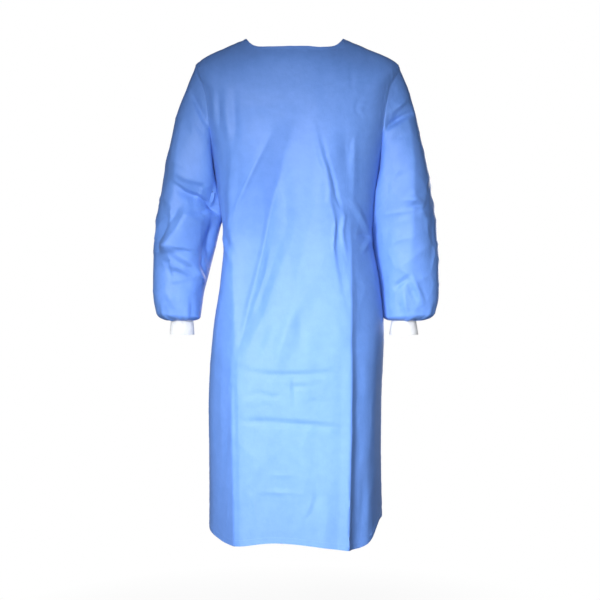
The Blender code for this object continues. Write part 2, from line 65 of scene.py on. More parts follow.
# how far rows of stitches run from an edge
NECK_STITCHES = 0.0070
SEAM_STITCHES = 0.0055
HEM_STITCHES = 0.0135
OVERLAP_STITCHES = 0.0115
TAPE_STITCHES = 0.0030
BOND_PITCH = 0.0018  # between the rows of point bonds in the non-woven cloth
KNIT_COLUMN = 0.0017  # the knit's stitches
KNIT_ROW = 0.0016

# ---------------------------------------------------------------- grids
YOKE_ROWS = 38
ARMHOLE_ROWS = 60
SKIRT_ROWS = 196
SIDE_COLUMNS = 24
FRONT_COLUMNS = 96
BACK_COLUMNS = 46
OVERLAP_COLUMNS = 26
SLEEVE_ROWS = 150
END_ROWS = 16
CUFF_RIBS = 52
RIB_COLUMNS = 6
CUFF_ROWS = 22
TAPE_ACROSS = 16
KNOT_GRID = (48, 72)

# ---------------------------------------------------------------- the torso's form
# One row for each loop round the body, from the neck's edge to the hem. A loop is a superellipse about
# (mid_x, mid_y). z_side is its height at the side seams, z_front and z_back at the centres.
TORSO_COLUMNS = ("z_side", "z_front", "z_back", "half_width", "front", "back", "mid_x", "mid_y", "square")
TORSO = (
    (0.000, -0.034, -0.010, 0.116, 0.085, 0.074, -0.003, 0.000, 2.6),  # neck edge
    (-0.021, -0.072, -0.050, 0.165, 0.107, 0.098, -0.003, 0.000, 2.5),  # half-way along the shoulder
    (-0.062, -0.125, -0.105, 0.241, 0.122, 0.116, 0.003, 0.000, 2.4),  # shoulder points
    (-0.120, -0.170, -0.160, 0.234, 0.130, 0.122, 0.003, 0.000, 2.6),
    (-0.195, -0.230, -0.225, 0.221, 0.134, 0.122, 0.002, 0.000, 2.7),
    (-0.300, -0.300, -0.300, 0.201, 0.134, 0.114, 0.002, 0.000, 2.5),  # underarm
    (-0.390, -0.390, -0.390, 0.187, 0.128, 0.102, 0.003, 0.000, 2.3),
    (-0.480, -0.480, -0.480, 0.177, 0.120, 0.094, 0.006, 0.002, 2.3),  # waist
    (-0.580, -0.580, -0.580, 0.190, 0.130, 0.118, 0.010, 0.006, 2.3),
    (-0.700, -0.700, -0.700, 0.205, 0.145, 0.140, 0.006, 0.014, 2.2),  # hip
    (-0.850, -0.850, -0.850, 0.208, 0.160, 0.150, -0.002, 0.026, 2.1),
    (-1.020, -1.020, -1.015, 0.208, 0.176, 0.150, -0.002, 0.038, 2.1),
    (-1.160, -1.160, -1.160, 0.210, 0.190, 0.146, -0.001, 0.048, 2.1),  # hem
)
SHOULDER_POINT = 2  # rows of the table
UNDERARM = 5
HEM = len(TORSO) - 1
ARMHOLE_FRONT = 28.0  # degrees cut away in front of the side, at mid height
ARMHOLE_BACK = 33.0  # and behind it
FRONT_STEADY = 55.0  # degrees from the middle at which the side columns begin
BACK_STEADY = 128.0
# The hem's line as (degrees round the body from the middle of the front, drop below the last row).
HEM_LINE = (
    (-180, 0.000), (-110, 0.005), (-78, 0.016), (-48, 0.028), (-32, 0.026), (-15, 0.015), (0, 0.018),
    (18, 0.027), (34, 0.036), (46, 0.033), (54, 0.022), (62, 0.000), (70, -0.014), (92, -0.012),
    (120, -0.003), (180, 0.000),
)
HEM_RAMP = 2.5  # table rows over which the loops bend to the hem's line
SIDE = math.pi / 2  # angles round the torso: 0 front, SIDE the wearer's left, BACK the centre back
BACK = math.pi
STEP = 1e-4  # for slopes by difference

# ---------------------------------------------------------------- the sleeves' form
# One row for each loop round the arm. The loop's outer and inner ends are places in the plane y = mid_y,
# and half_depth is its reach in front and behind. swing is how far the row follows inner_swing below.
SLEEVE_COLUMNS = ("outer_x", "outer_z", "inner_x", "inner_z", "half_depth", "mid_y", "swing")
SLEEVE = (
    (0.2430, -0.0640, 0.2010, -0.2985, 0.080, 0.004, 0.0),  # armhole
    (0.2660, -0.1200, 0.1950, -0.3280, 0.079, 0.004, 0.0),
    (0.2845, -0.1780, 0.1870, -0.3550, 0.077, 0.002, 0.0),
    (0.2990, -0.2400, 0.1780, -0.3850, 0.074, 0.002, 0.0),
    (0.3140, -0.3080, 0.1760, -0.4200, 0.072, 0.005, 0.0),
    (0.3270, -0.3780, 0.1810, -0.4620, 0.071, 0.013, 0.25),
    (0.3365, -0.4450, 0.1870, -0.5080, 0.069, 0.014, 0.5),  # elbow
    (0.3420, -0.5100, 0.1950, -0.5550, 0.066, 0.012, 0.7),
    (0.3435, -0.5700, 0.2025, -0.6000, 0.062, 0.009, 0.9),
    (0.3420, -0.6200, 0.2065, -0.6400, 0.058, 0.006, 1.0),
    (0.3345, -0.6520, 0.2095, -0.6630, 0.052, 0.004, 1.0),  # the blouse over the cuff
)
SLEEVE_SQUARE = 2.3  # the loops' superellipse
SLEEVE_END_Z = -0.6730  # where the sleeve's turned-in end meets the cuff
SLEEVE_BLEND = 4.0  # rows over which the armhole's own outline fades into the loops
SLEEVE_CLEAR = 0.0007  # how far the sleeves keep from the torso, before the folds are added
UNDERARM_CLEAR = 0.0005  # the same at the seam itself
CAD_ROWS = 1.2  # rows of the CAD sleeve for each row of the table
ARM_SIDES = {
    "left": {"side": 1, "inner_swing": 0.0000, "cuff_x": 0.2590, "cuff_half": 0.0290, "flare": 1.22},
    "right": {"side": -1, "inner_swing": 0.0200, "cuff_x": 0.2737, "cuff_half": 0.0265, "flare": 1.14},
}
CUFF_DEPTH_SHARE = 1.05  # a cuff's depth over its width

# ---------------------------------------------------------------- folds and creases
# A fold on the front or the back is a ridge or, where its rise is negative, a trough. Its columns are
# to_left, to_right, crisp and then the places (x, z, rise) of its path, all but crisp in millimetres. A
# place without a rise has none. to_left and to_right are its reach to the two sides of a path that runs
# down, and below and above one that runs towards +X. crisp is 0 for a round crest and 1 for a sharp one
# with sharp feet. Above 1 the crest is sharp and the feet fade out.
MILLIMETRE = 0.001
TORSO_FOLDS = {
    "front": (
        # the largest ones, which the CAD part has in other depths
        (150, 60, 2.0, (119, -380), (118, -600, 13), (118, -750, 21), (105, -1200, 30)),
        (65, 160, 2.0, (-143, -500), (-139, -700, 13), (-136, -850, 21), (-122, -1200, 28)),
        (80, 62, 1.0, (-36, -205), (-55, -245, 9), (-88, -310, 14), (-128, -390, 15), (-140, -470, 12),
            (-142, -600, 9), (-140, -720, 3)),
        (62, 95, 1.0, (-4, -200), (-12, -250, -10), (-34, -325, -18), (-58, -415, -22), (-84, -520, -23),
            (-108, -634, -21), (-122, -700, -16), (-134, -766, -5)),
        (100, 110, 0.8, (36, -205), (60, -309, 13), (77, -397, 20), (80, -511, 20), (99, -600, 14),
            (118, -730)),
        (42, 45, 0.1, (162, -520), (162, -780, 8), (156, -1210, 12)),
        # folds that fall from the right armhole
        (12, 10, 0.6, (-190, -120), (-188, -170, 3), (-180, -230)),
        (10, 10, 0.6, (-178, -140), (-178, -200, -3), (-174, -250)),
        (14, 12, 0.5, (-162, -120), (-159, -200, 4), (-150, -290)),
        (12, 16, 0.5, (-143, -120), (-142, -200, -4), (-136, -280)),
        (16, 20, 0.5, (-148, -260), (-146, -360, 5), (-142, -470, 6), (-130, -540)),
        # the fan of long folds from the chest to the right side of the waist
        (22, 35, 0.7, (14, -420), (-36, -550, 3), (-76, -660, 3), (-118, -760)),
        (22, 35, 0.7, (78, -490), (26, -590, 3), (-29, -720, 3), (-58, -790)),
        (16, 20, 0.5, (-52, -650), (-78, -710, -3), (-106, -770)),
        (18, 18, 0.5, (10, -630), (10, -680, -3), (6, -740)),
        # sharp creases down the middle and left of the chest
        (5, 11, 1.0, (36, -210), (46, -250, 2), (58, -309, 4), (66, -325, 4), (72, -372, 4), (69, -398, 4),
            (84, -430, 3), (80, -500, 3), (99, -600, 3), (114, -660)),
        (4, 7, 1.0, (50, -220), (68, -300, -3), (84, -360, -4), (88, -390, -4), (104, -430)),
        (6, 12, 1.0, (80, -400), (90, -450, -5), (86, -510, -5), (87, -530, -5), (100, -600, -5),
            (114, -660)),
        (5, 7, 1.0, (94, -400), (104, -430, 3), (98, -465, 4), (101, -490, 3), (110, -540)),
        (10, 14, 0.9, (134, -235), (131, -290, 3), (129, -350, 2), (122, -420)),
        (6, 8, 0.9, (127, -245), (124, -270, -3), (126, -300)),
        (25, 12, 0.5, (112, -210), (114, -280, -4), (112, -360)),
        (6, 12, 0.7, (128, -70), (128, -110, -2), (127, -150)),
        (60, 30, 0.5, (-136, -212), (-100, -207, 3), (-30, -202, 3), (10, -205)),
        (7, 7, 0.9, (-118, -262), (-100, -255, -1.8), (-78, -258)),
        (5, 7, 1.0, (-50, -235), (-84, -305, 3), (-124, -390, 3), (-137, -430)),
        (7, 5, 1.0, (-40, -345), (-62, -415, -2), (-86, -515, -3), (-112, -625, -3), (-133, -750)),
        (10, 14, 0.7, (-60, -480), (-74, -560, 3), (-98, -630, 2), (-112, -690)),
        # a small crumple on the left of the chest
        (6, 7, 0.8, (158, -155), (142, -168, -1.8), (137, -188, -1.8), (150, -206)),
        (7, 6, 0.8, (168, -168), (156, -176, 1.8), (150, -190, 1.2), (160, -203)),
        (6, 6, 0.8, (148, -186), (158, -181, -1.4), (170, -184)),
        # pulls at the two ends of the waist
        (14, 14, 0.6, (112, -380), (145, -430, 5), (174, -476, 3)),
        (12, 12, 0.6, (144, -520), (158, -500, 4), (174, -480, 3)),
        (12, 14, 0.6, (132, -470), (152, -472, -3), (172, -478, -2)),
        (14, 14, 0.6, (-166, -476, 3), (-150, -450, 4), (-128, -410)),
        (12, 12, 0.6, (-166, -482, 3), (-152, -510, 4), (-138, -550)),
        # the two front corners of the skirt
        (20, 14, 1.0, (119, -410), (119, -760, 3), (116, -920, 4), (104, -1210, 5)),
        (8, 8, 1.0, (-138, -660), (-138, -760, -2), (-131, -890, -3), (-121, -1200, -3)),
        (40, 30, 0.6, (74, -620), (94, -700, 3), (100, -800)),
        # creases from when the gown was packed
        (8, 10, 1.0, (-130, -898), (-66, -901, -5), (60, -909, -5), (117, -914)),
        (8, 12, 1.0, (-134, -784), (-60, -797, -3), (30, -795, -4), (110, -788)),
        (6, 8, 1.0, (-34, -823), (8, -822, -3), (48, -822)),
        (6, 6, 1.0, (-7, -785), (-4, -830, -3), (-2, -880)),
        (6, 8, 1.0, (-112, -848), (-84, -836, -2), (-50, -846, -3), (-30, -838)),
        (6, 6, 1.0, (-90, -872), (-70, -862, -2), (-46, -870)),
        (8, 6, 1.0, (14, -862), (40, -852, -2), (78, -858)),
        (5, 7, 1.0, (-64, -1016), (-30, -1017, 2.5), (3, -1015)),
        (5, 7, 1.0, (-90, -1052), (-30, -1054, 2.8), (26, -1053)),
        (7, 12, 0.9, (43, -1020), (45, -1060, -2.5), (36, -1090, -2), (10, -1120)),
        (20, 30, 0.5, (60, -1020), (68, -1090, 3), (60, -1180, 2)),
        # the left side of the skirt, between its corner and the side seam
        (10, 20, 0.3, (176, -700), (172, -880, 1), (164, -1020)),
        (14, 20, 0.4, (-170, -660), (-169, -860, 1.5), (-167, -1100)),
        (12, 16, 0.3, (150, -980), (147, -1080, -1.5), (142, -1170)),
    ),
    "back": (
        # the largest ones, which the CAD part has in other depths
        (45, 45, 0.3, (-110, -380), (-125, -600, 10), (-130, -1200, 20)),
        (40, 50, 0.3, (-30, -360), (-30, -600, 6), (-35, -1200, 12)),
        (50, 45, 0.3, (70, -380), (82, -600, 9), (90, -1200, 19)),
        (45, 45, 0.3, (-115, -160), (-85, -320, 8), (-60, -500)),
        (45, 45, 0.3, (125, -180), (102, -340, 8), (80, -500)),
        # folds of the back, above the tie
        (18, 20, 0.5, (-160, -140), (-150, -240, 4), (-128, -340)),
        (18, 16, 0.5, (166, -140), (152, -260, 5), (135, -380)),
        (20, 30, 0.5, (80, -100), (62, -240, 4), (30, -420)),
        (26, 20, 0.5, (-90, -110), (-52, -250, 4), (-30, -420)),
        (14, 14, 0.7, (-140, -380), (-122, -430, 3), (-100, -465, 1)),
        (14, 14, 0.7, (148, -360), (128, -420, 4), (104, -465, 1)),
        (12, 12, 0.7, (52, -380), (58, -430, 4), (60, -470, 1)),
        (12, 12, 0.7, (-70, -370), (-66, -430, 4), (-62, -470, 1)),
        (8, 8, 1.0, (-130, -300), (-20, -306, -1.8), (120, -298)),
        # and below it
        (14, 16, 0.6, (-100, -490, 1), (-106, -560, 5), (-112, -740)),
        (14, 14, 0.6, (-58, -500, 1), (-62, -560, 4), (-70, -700)),
        (14, 14, 0.6, (50, -500, 1), (52, -570, 4), (58, -720)),
        (16, 14, 0.6, (112, -490, 1), (118, -580, 5), (124, -780)),
        (20, 20, 0.5, (-160, -520), (-164, -780, 5), (-166, -1160, 5)),
        (20, 24, 0.5, (150, -540), (158, -800, 5), (164, -1160, 6)),
        (24, 20, 0.5, (-78, -700), (-82, -940, -5), (-88, -1180, -6)),
        (20, 26, 0.5, (40, -680), (44, -920, -5), (50, -1180, -6)),
        (9, 9, 1.0, (-150, -905), (-20, -912, -2.2), (140, -904)),
        (9, 9, 1.0, (-120, -660), (0, -655, -1.6), (110, -662)),
    ),
}
SLEEVE_FOLDS = {
    "left": {
        "front": (
            (55, 50, 1.0, (262, -200, 4), (270, -300, 16), (272, -450, 15), (268, -600, 3)),
            (16, 22, 1.0, (212, -215, -12), (240, -198, -13), (276, -172)),
            # from the underarm up to the sleeve's head
            (7, 10, 1.0, (214, -222, -5), (240, -204, -8), (272, -184, -4)),
            (9, 12, 1.0, (220, -190), (244, -168, 5), (262, -150)),
            (10, 12, 0.9, (216, -262), (238, -244, -4), (268, -236)),
            (8, 10, 0.8, (226, -130), (238, -126, 3), (252, -112)),
            # round the elbow
            (9, 10, 1.0, (244, -396), (262, -386, 4), (278, -388, 5), (300, -406)),
            (8, 9, 1.0, (256, -412), (274, -402, -5), (292, -410)),
            (6, 8, 1.0, (262, -378), (272, -372, 3), (284, -380)),
            (20, 8, 1.0, (276, -424), (290, -418, 4), (316, -422)),
            (12, 12, 0.7, (228, -448), (256, -436, 2), (298, -440)),
            (12, 12, 0.7, (210, -330), (236, -338, -3), (262, -330)),
            # the forearm, above the cuff
            (8, 9, 1.0, (232, -600), (242, -588, -5), (258, -576, -5), (272, -562)),
            (12, 9, 1.0, (268, -562), (280, -586, 6), (296, -622, 4), (300, -640)),
            (9, 9, 1.0, (262, -572), (274, -604, -5), (288, -640)),
            (8, 8, 0.9, (254, -590), (257, -626, 4), (262, -660, 2)),
            (8, 8, 0.9, (240, -604), (243, -636, -3), (246, -662, -1)),
        ),
        "back": (
            (40, 40, 0.4, (290, -300, 3), (265, -420, 9), (235, -500, 3)),
            (14, 14, 0.6, (300, -360), (272, -385, 5), (240, -375)),
            (14, 14, 0.6, (310, -440), (280, -470, 5), (244, -462)),
            (14, 14, 0.6, (320, -500), (292, -545, -4), (262, -600)),
            (14, 14, 0.6, (215, -200), (240, -182, 5), (262, -160)),
            (12, 12, 0.6, (212, -250), (246, -238, -4), (280, -236)),
        ),
    },
    "right": {
        "front": (
            (22, 75, 1.0, (-246, -405, 8), (-258, -425, 26), (-300, -497, 30), (-298, -515, 12)),
            (45, 80, 1.0, (-302, -500, 4), (-254, -530, 16), (-205, -575, 10)),
            (95, 30, 0.6, (-192, -415, -12), (-198, -500, -20), (-214, -572, -8)),
            (26, 44, 1.0, (-292, -345, -3), (-250, -380, -12), (-185, -402, -14)),
            (30, 90, 0.8, (-250, -140), (-268, -240, 10), (-280, -330, 12), (-290, -400, 6)),
            # beside the armhole
            (10, 22, 1.0, (-248, -130), (-234, -160, -10), (-206, -212, -10)),
            (14, 12, 0.6, (-252, -190), (-236, -225, 4), (-216, -262)),
            # round the elbow
            (14, 7, 1.0, (-290, -345), (-262, -372, -8), (-222, -386, -9), (-186, -410, -5)),
            (10, 12, 1.0, (-286, -318), (-258, -340, 5), (-218, -352, 4), (-190, -372)),
            (10, 14, 1.0, (-258, -372), (-240, -398, -6), (-214, -402, -4), (-190, -396)),
            (8, 8, 0.9, (-246, -350), (-222, -358, -4), (-200, -350)),
            (8, 20, 1.0, (-262, -426), (-280, -452, -5), (-300, -486)),
            (16, 10, 0.9, (-296, -375), (-290, -425, 5), (-306, -480)),
            (8, 8, 1.0, (-250, -414), (-220, -418, -6), (-188, -408, -3)),
            # the forearm
            (10, 12, 1.0, (-304, -508), (-276, -536, -6), (-254, -548, -6), (-238, -572)),
            (10, 10, 1.0, (-250, -545), (-232, -562, 5), (-214, -582, 3)),
            (9, 9, 1.0, (-214, -500), (-222, -540, -5), (-212, -585, -3)),
            (14, 9, 1.0, (-312, -566), (-282, -556, -5), (-262, -566, -3), (-240, -590)),
            (12, 14, 0.9, (-310, -600), (-294, -622, 4), (-286, -648)),
            (10, 10, 0.6, (-246, -610), (-244, -640, -3), (-246, -664, -2)),
        ),
        "back": (
            (40, 40, 0.4, (-290, -320, 3), (-265, -430, 9), (-235, -520, 3)),
            (14, 14, 0.6, (-302, -370), (-274, -392, 5), (-238, -384)),
            (14, 14, 0.6, (-310, -450), (-276, -478, 5), (-240, -470)),
            (14, 14, 0.6, (-318, -520), (-296, -560, -4), (-272, -610)),
            (14, 14, 0.6, (-216, -200), (-242, -184, 5), (-264, -158)),
        ),
    },
}

# ---------------------------------------------------------------- closures on the back
# A tape's path is (x, z, lift): its places seen from behind, and its height off the torso's form.
TAPE_COLUMNS = ("name", "width", "rows", "path")
TAPES = (
    (
        "waist_tie_left", TIE_WIDTH, 60,
        ((0.166, -0.466, 0.003), (0.080, -0.480, 0.007), (0.0195, -0.486, 0.009)),
    ),
    (
        "waist_tie_right", TIE_WIDTH, 56,
        ((-0.152, -0.466, 0.003), (-0.080, -0.480, 0.006), (-0.0175, -0.486, 0.009)),
    ),
    (
        "tie_end_left", TIE_WIDTH, 80,
        ((0.008, -0.505, 0.008), (0.022, -0.560, 0.006), (0.030, -0.735, 0.005)),
    ),
    (
        "tie_end_right", TIE_WIDTH, 70,
        ((-0.006, -0.505, 0.014), (-0.016, -0.560, 0.009), (-0.028, -0.700, 0.006)),
    ),
    ("neck_tab", TAB_WIDTH, 30, ((-0.022, -0.032, 0.0045), (-0.096, -0.032, 0.0045))),
)
KNOT_PLACE = (0.001, -0.486)
KNOT_LIFT = 0.0148
KNOT_HALF_SIZE = (0.0165, 0.0095, 0.0180)


# ---------------------------------------------------------------- curves and folds
def smooth(value):
    """0 to 1 with level ends."""
    share = np.clip(value, 0.0, 1.0)
    return share * share * (3.0 - 2.0 * share)


def between(table, at, column):
    """One column of a table at fractional rows, on a Catmull-Rom curve through its values."""
    values = np.array([row[column] for row in table])
    padded = np.concatenate([[2 * values[0] - values[1]], values, [2 * values[-1] - values[-2]]])
    row = np.clip(np.floor(at).astype(int), 0, len(values) - 2)
    share = at - row
    before, start, end, after = (padded[row + i] for i in range(4))
    return start + 0.5 * share * (
        end - before
        + share * (2 * before - 5 * start + 4 * end - after + share * (3 * (start - end) + after - before))
    )


def unit(vectors):
    return vectors / np.maximum(np.linalg.norm(vectors, axis=-1, keepdims=True), 1e-12)


def signed_power(value, power):
    return np.sign(value) * np.abs(value) ** power


def lengths_along(points, axis=0):
    steps = np.linalg.norm(np.diff(points, axis=axis), axis=-1)
    pad = np.zeros_like(np.take(steps, [0], axis=axis))
    return np.concatenate([pad, np.cumsum(steps, axis=axis)], axis=axis)


def at_lengths(wanted, lengths, values):
    """The values, given at lengths along a line, at the wanted lengths."""
    return np.stack([np.interp(wanted, lengths, values[:, i]) for i in range(3)], axis=-1)


def bump(value, width):
    """1 at zero, fading to nothing over a few widths."""
    return np.exp(-((value / width) ** 2))


def along_path(points, path):
    """Signed distance from a path, negative on its to_left side, and its rise at the nearest place."""
    nodes = np.array([(*place, 0.0)[:3] for place in path]) * MILLIMETRE
    best = np.full(points.shape[:-1], 1e9)
    signed = np.zeros_like(best)
    rise = np.zeros_like(best)
    for start, end in zip(nodes[:-1], nodes[1:]):
        run = end[:2] - start[:2]
        share = np.clip(((points - start[:2]) @ run) / (run @ run), 0.0, 1.0)
        away = points - start[:2] - share[..., None] * run
        distance = np.linalg.norm(away, axis=-1)
        nearer = distance < best
        side = np.sign(run[0] * away[..., 1] - run[1] * away[..., 0])
        best = np.where(nearer, distance, best)
        signed = np.where(nearer, side * distance, signed)
        rise = np.where(nearer, start[2] + share * (end[2] - start[2]), rise)
    return signed, rise


def fold_rise(folds, points, normals):
    """How far the folds lift each point of a surface along its normal."""
    total = np.zeros(points.shape[:-1])
    flat = points[..., [0, 2]]
    for face, ahead in (("front", -1.0), ("back", 1.0)):
        facing = smooth(ahead * normals[..., 1] / 0.5)
        for to_left, to_right, crisp, *path in folds[face]:
            signed, rise = along_path(flat, path)
            reach = np.where(signed < 0, to_left, to_right) * MILLIMETRE
            tent = np.clip(1.0 - np.abs(signed) / reach, 0.0, 1.0)
            if crisp > 1.0:
                profile = tent ** crisp
            else:
                profile = (1.0 - crisp) * smooth(tent) + crisp * tent
            total += rise * profile * facing
    return total


def waver(points, size, seed):
    """Smooth noise from about -1 to 1, with features of the given size along X, Y and Z."""
    flat = points.reshape(-1, 3) / np.array(size) + seed
    return np.array([noise.noise(place) for place in flat.tolist()]).reshape(points.shape[:-1])


def crumple(points, size, seed):
    """A network of thin ridges, 1 on the ridges and 0 in the cells between them."""
    flat = points.reshape(-1, 3) / np.array(size) + seed
    gaps = []
    for place in flat.tolist():
        near = noise.voronoi(place)[0]
        gaps.append(near[1] - near[0])
    return np.exp(-np.array(gaps) / 0.10).reshape(points.shape[:-1])


# ---------------------------------------------------------------- torso
def torso_row(at):
    return {name: between(TORSO, at, i) for i, name in enumerate(TORSO_COLUMNS)}


def torso_form(at, angle):
    """Points of the torso's smooth form at fractional table rows and angles round the body."""
    row = torso_row(at)
    across, ahead = np.sin(angle), np.cos(angle)
    power = 2.0 / row["square"]
    depth = np.where(ahead > 0, row["front"], row["back"])
    x = row["mid_x"] + row["half_width"] * signed_power(across, power)
    y = row["mid_y"] - depth * signed_power(ahead, power)
    steepness = 3.0 + 3.0 * np.clip(1.0 - at / SHOULDER_POINT, 0.0, 1.0)
    middle = np.where(ahead > 0, row["z_front"], row["z_back"])
    z = row["z_side"] + (middle - row["z_side"]) * (1.0 - np.abs(across) ** steepness)
    return np.stack([x, y, z], axis=-1)


def row_at(z, angle):
    """The fractional row where the torso's form is at height z."""
    high = np.zeros_like(z)
    low = np.full_like(z, float(HEM))
    for _ in range(20):
        at = (high + low) / 2.0
        above = torso_form(at, angle)[..., 2] > z
        high = np.where(above, at, high)
        low = np.where(above, low, at)
    return at


def on_back(x, z, lift):
    """Points on the back of the torso at places seen from behind."""
    angle = np.full_like(x, BACK)
    for _ in range(6):
        at = row_at(z, angle)
        row = torso_row(at)
        across = np.clip((x - row["mid_x"]) / row["half_width"], -1.0, 1.0)
        angle = BACK - np.arcsin(signed_power(across, row["square"] / 2.0))
    return torso_surface(at, angle, lift)


def torso_normal(at, angle):
    """Outward unit normals of the torso's smooth form."""
    inside = np.clip(at, STEP, HEM - STEP)
    down = torso_form(inside + STEP, angle) - torso_form(inside - STEP, angle)
    round_ = torso_form(at, angle + STEP) - torso_form(at, angle - STEP)
    return unit(np.cross(down, round_))


def cloth_unevenness(points, normals):
    """The slack and the small wrinkles of stiff light cloth, less where the arms lie against it."""
    calm = 0.25 + 0.75 * smooth(np.abs(normals[..., 1]) / 0.6)
    calm *= smooth((0.06 - points[..., 2]) / 0.12)
    slack = 0.0022 * waver(points, (0.075, 0.12, 0.26), 11.3)
    ripple = 0.0011 * waver(points, (0.028, 0.05, 0.070), 4.7)
    where = smooth(0.5 + 1.2 * waver(points, (0.16, 0.16, 0.22), 23.1))
    below_yoke = smooth((-0.10 - points[..., 2]) / 0.12)
    creases = 0.0010 * where * crumple(points, (0.070, 0.11, 0.105), 7.9) * below_yoke
    return calm * (slack + ripple + creases)


def torso_surface(at, angle, lift=0.0):
    """The cloth's outer points on the torso, with its folds, and the normals that they were lifted on."""
    points = torso_form(at, angle)
    normals = torso_normal(at, angle)
    rise = fold_rise(TORSO_FOLDS, points, normals) + cloth_unevenness(points, normals)
    lifted = points + normals * (rise + lift)[..., None]
    lifted[..., 2] -= hem_drop(angle) * np.clip((at - HEM) / HEM_RAMP + 1.0, 0.0, 1.0) ** 2
    return lifted, normals


def hem_drop(angle):
    """The hem line's drop at angles round the body, with softened corners."""
    degrees, drop = np.array(HEM_LINE).T
    turned = (np.degrees(angle) + 180.0) % 360.0 - 180.0
    shifts = (-6.0, -3.0, 0.0, 3.0, 6.0)
    return sum(np.interp(turned + shift, degrees, drop, period=360) for shift in shifts) / len(shifts)


def armhole_rows():
    """The half turn from the shoulder point to the underarm, and its fractional table rows."""
    turn = np.linspace(0.0, math.pi, ARMHOLE_ROWS + 1)
    return turn, SHOULDER_POINT + (UNDERARM - SHOULDER_POINT) * (1.0 - np.cos(turn)) / 2.0


def torso_rows():
    """Fractional table rows of the grid, close together at the neck's edge and at the hem."""
    share = np.linspace(0.0, 1.0, YOKE_ROWS + 1)
    yoke = SHOULDER_POINT * (0.35 * share + 0.65 * share ** 1.8)
    armhole = armhole_rows()[1]
    share = np.linspace(0.0, 1.0, SKIRT_ROWS + 1)
    skirt = UNDERARM + (HEM - UNDERARM) * (1.0 - (1.0 - share) * (0.86 + 0.14 * (1.0 - share)))
    return np.concatenate([yoke, armhole[1:], skirt[1:]])


def armhole_cut(degrees):
    """How far round from the side each row of the grid stops, where the armhole is cut out."""
    cut = np.zeros(YOKE_ROWS + ARMHOLE_ROWS + SKIRT_ROWS + 1)
    cut[YOKE_ROWS:YOKE_ROWS + ARMHOLE_ROWS + 1] = math.radians(degrees) * np.sin(armhole_rows()[0])
    return cut


def seam_inset(at, angle):
    """The angle that is half a seam's gap wide at each point."""
    width = torso_form(at, angle + STEP) - torso_form(at, angle - STEP)
    return SEAM_GAP / 2 * (2 * STEP) / np.linalg.norm(width, axis=-1)


def columns_between(start, end, count, gather=0.0):
    """The angles of columns from start to end, for each row. gather draws them towards the end."""
    share = np.linspace(0.0, 1.0, count + 1)
    share = (1.0 - gather) * share + gather * (1.0 - (1.0 - share) ** 2)
    return start[:, None] + (end - start)[:, None] * share


def distance_to(points, line):
    """How far each point is from the nearest point of a line."""
    tree = kdtree.KDTree(len(line))
    for i, place in enumerate(line.tolist()):
        tree.insert(place, i)
    tree.balance()
    flat = points.reshape(-1, 3).tolist()
    return np.array([tree.find(place)[2] for place in flat]).reshape(points.shape[:-1])


def dense(line, step=0.001):
    """The line's points, put closer together."""
    lengths = lengths_along(line)
    return at_lengths(np.linspace(0.0, lengths[-1], max(2, int(lengths[-1] / step))), lengths, line)


def seam_lift(distance):
    """A sewn seam: a low ridge along the edge, and a shallow line where the allowance behind it ends."""
    return 0.0007 * bump(distance, 0.0022) + 0.0004 * smooth((0.011 - distance) / 0.003)


def edge_lift(distance, width):
    """A turned and stitched edge: two layers, with a dip along its stitches."""
    return 0.0004 * smooth((width - distance) / 0.004) - 0.0002 * bump(distance - width + 0.002, 0.0012)


def pucker(points, distance, seed):
    """Short wrinkles that the stitches of a seam draw into the cloth beside it."""
    pull = bump(distance - 0.010, 0.011)
    return 0.0012 * pull * waver(points, (0.012, 0.012, 0.012), seed)


def torso_panel(name, angle, lift, seams):
    """A panel of the torso on a grid of rows and angles. seams are its columns that are sewn to others."""
    rows = np.broadcast_to(torso_rows()[:, None], angle.shape)
    points, normals = torso_surface(rows, angle, lift)
    neck = distance_to(points, dense(points[0]))
    hem = distance_to(points, dense(points[-1]))
    extra = edge_lift(neck, 0.009) + edge_lift(hem, 0.016)
    extra += pucker(points, neck, 3.3) * 0.8
    for column in range(0, angle.shape[1], angle.shape[1] - 1):
        away = distance_to(points, dense(points[:, column]))
        if column in seams:
            extra += seam_lift(away) + pucker(points, away, 9.1)
        else:
            extra += edge_lift(away, 0.014)
    # the two edges that meet at the neck's corners and at the hem's lie in one thickness
    extra = np.minimum(extra, 0.0016)
    return points + normals * extra[..., None], normals


def front_panel():
    rows = torso_rows()
    cut = armhole_cut(ARMHOLE_FRONT)
    edge = SIDE - cut
    edge = edge - np.where(cut > 1e-6, 2.0, 1.0) * seam_inset(rows, edge)
    steady = np.full_like(edge, math.radians(FRONT_STEADY))
    left = columns_between(steady, edge, SIDE_COLUMNS, 0.6)
    middle = columns_between(-steady, steady, FRONT_COLUMNS)
    angle = np.concatenate([-left[:, :0:-1], middle, left[:, 1:]], axis=1)
    return torso_panel("front_panel", angle, np.zeros_like(angle), (0, angle.shape[1] - 1))


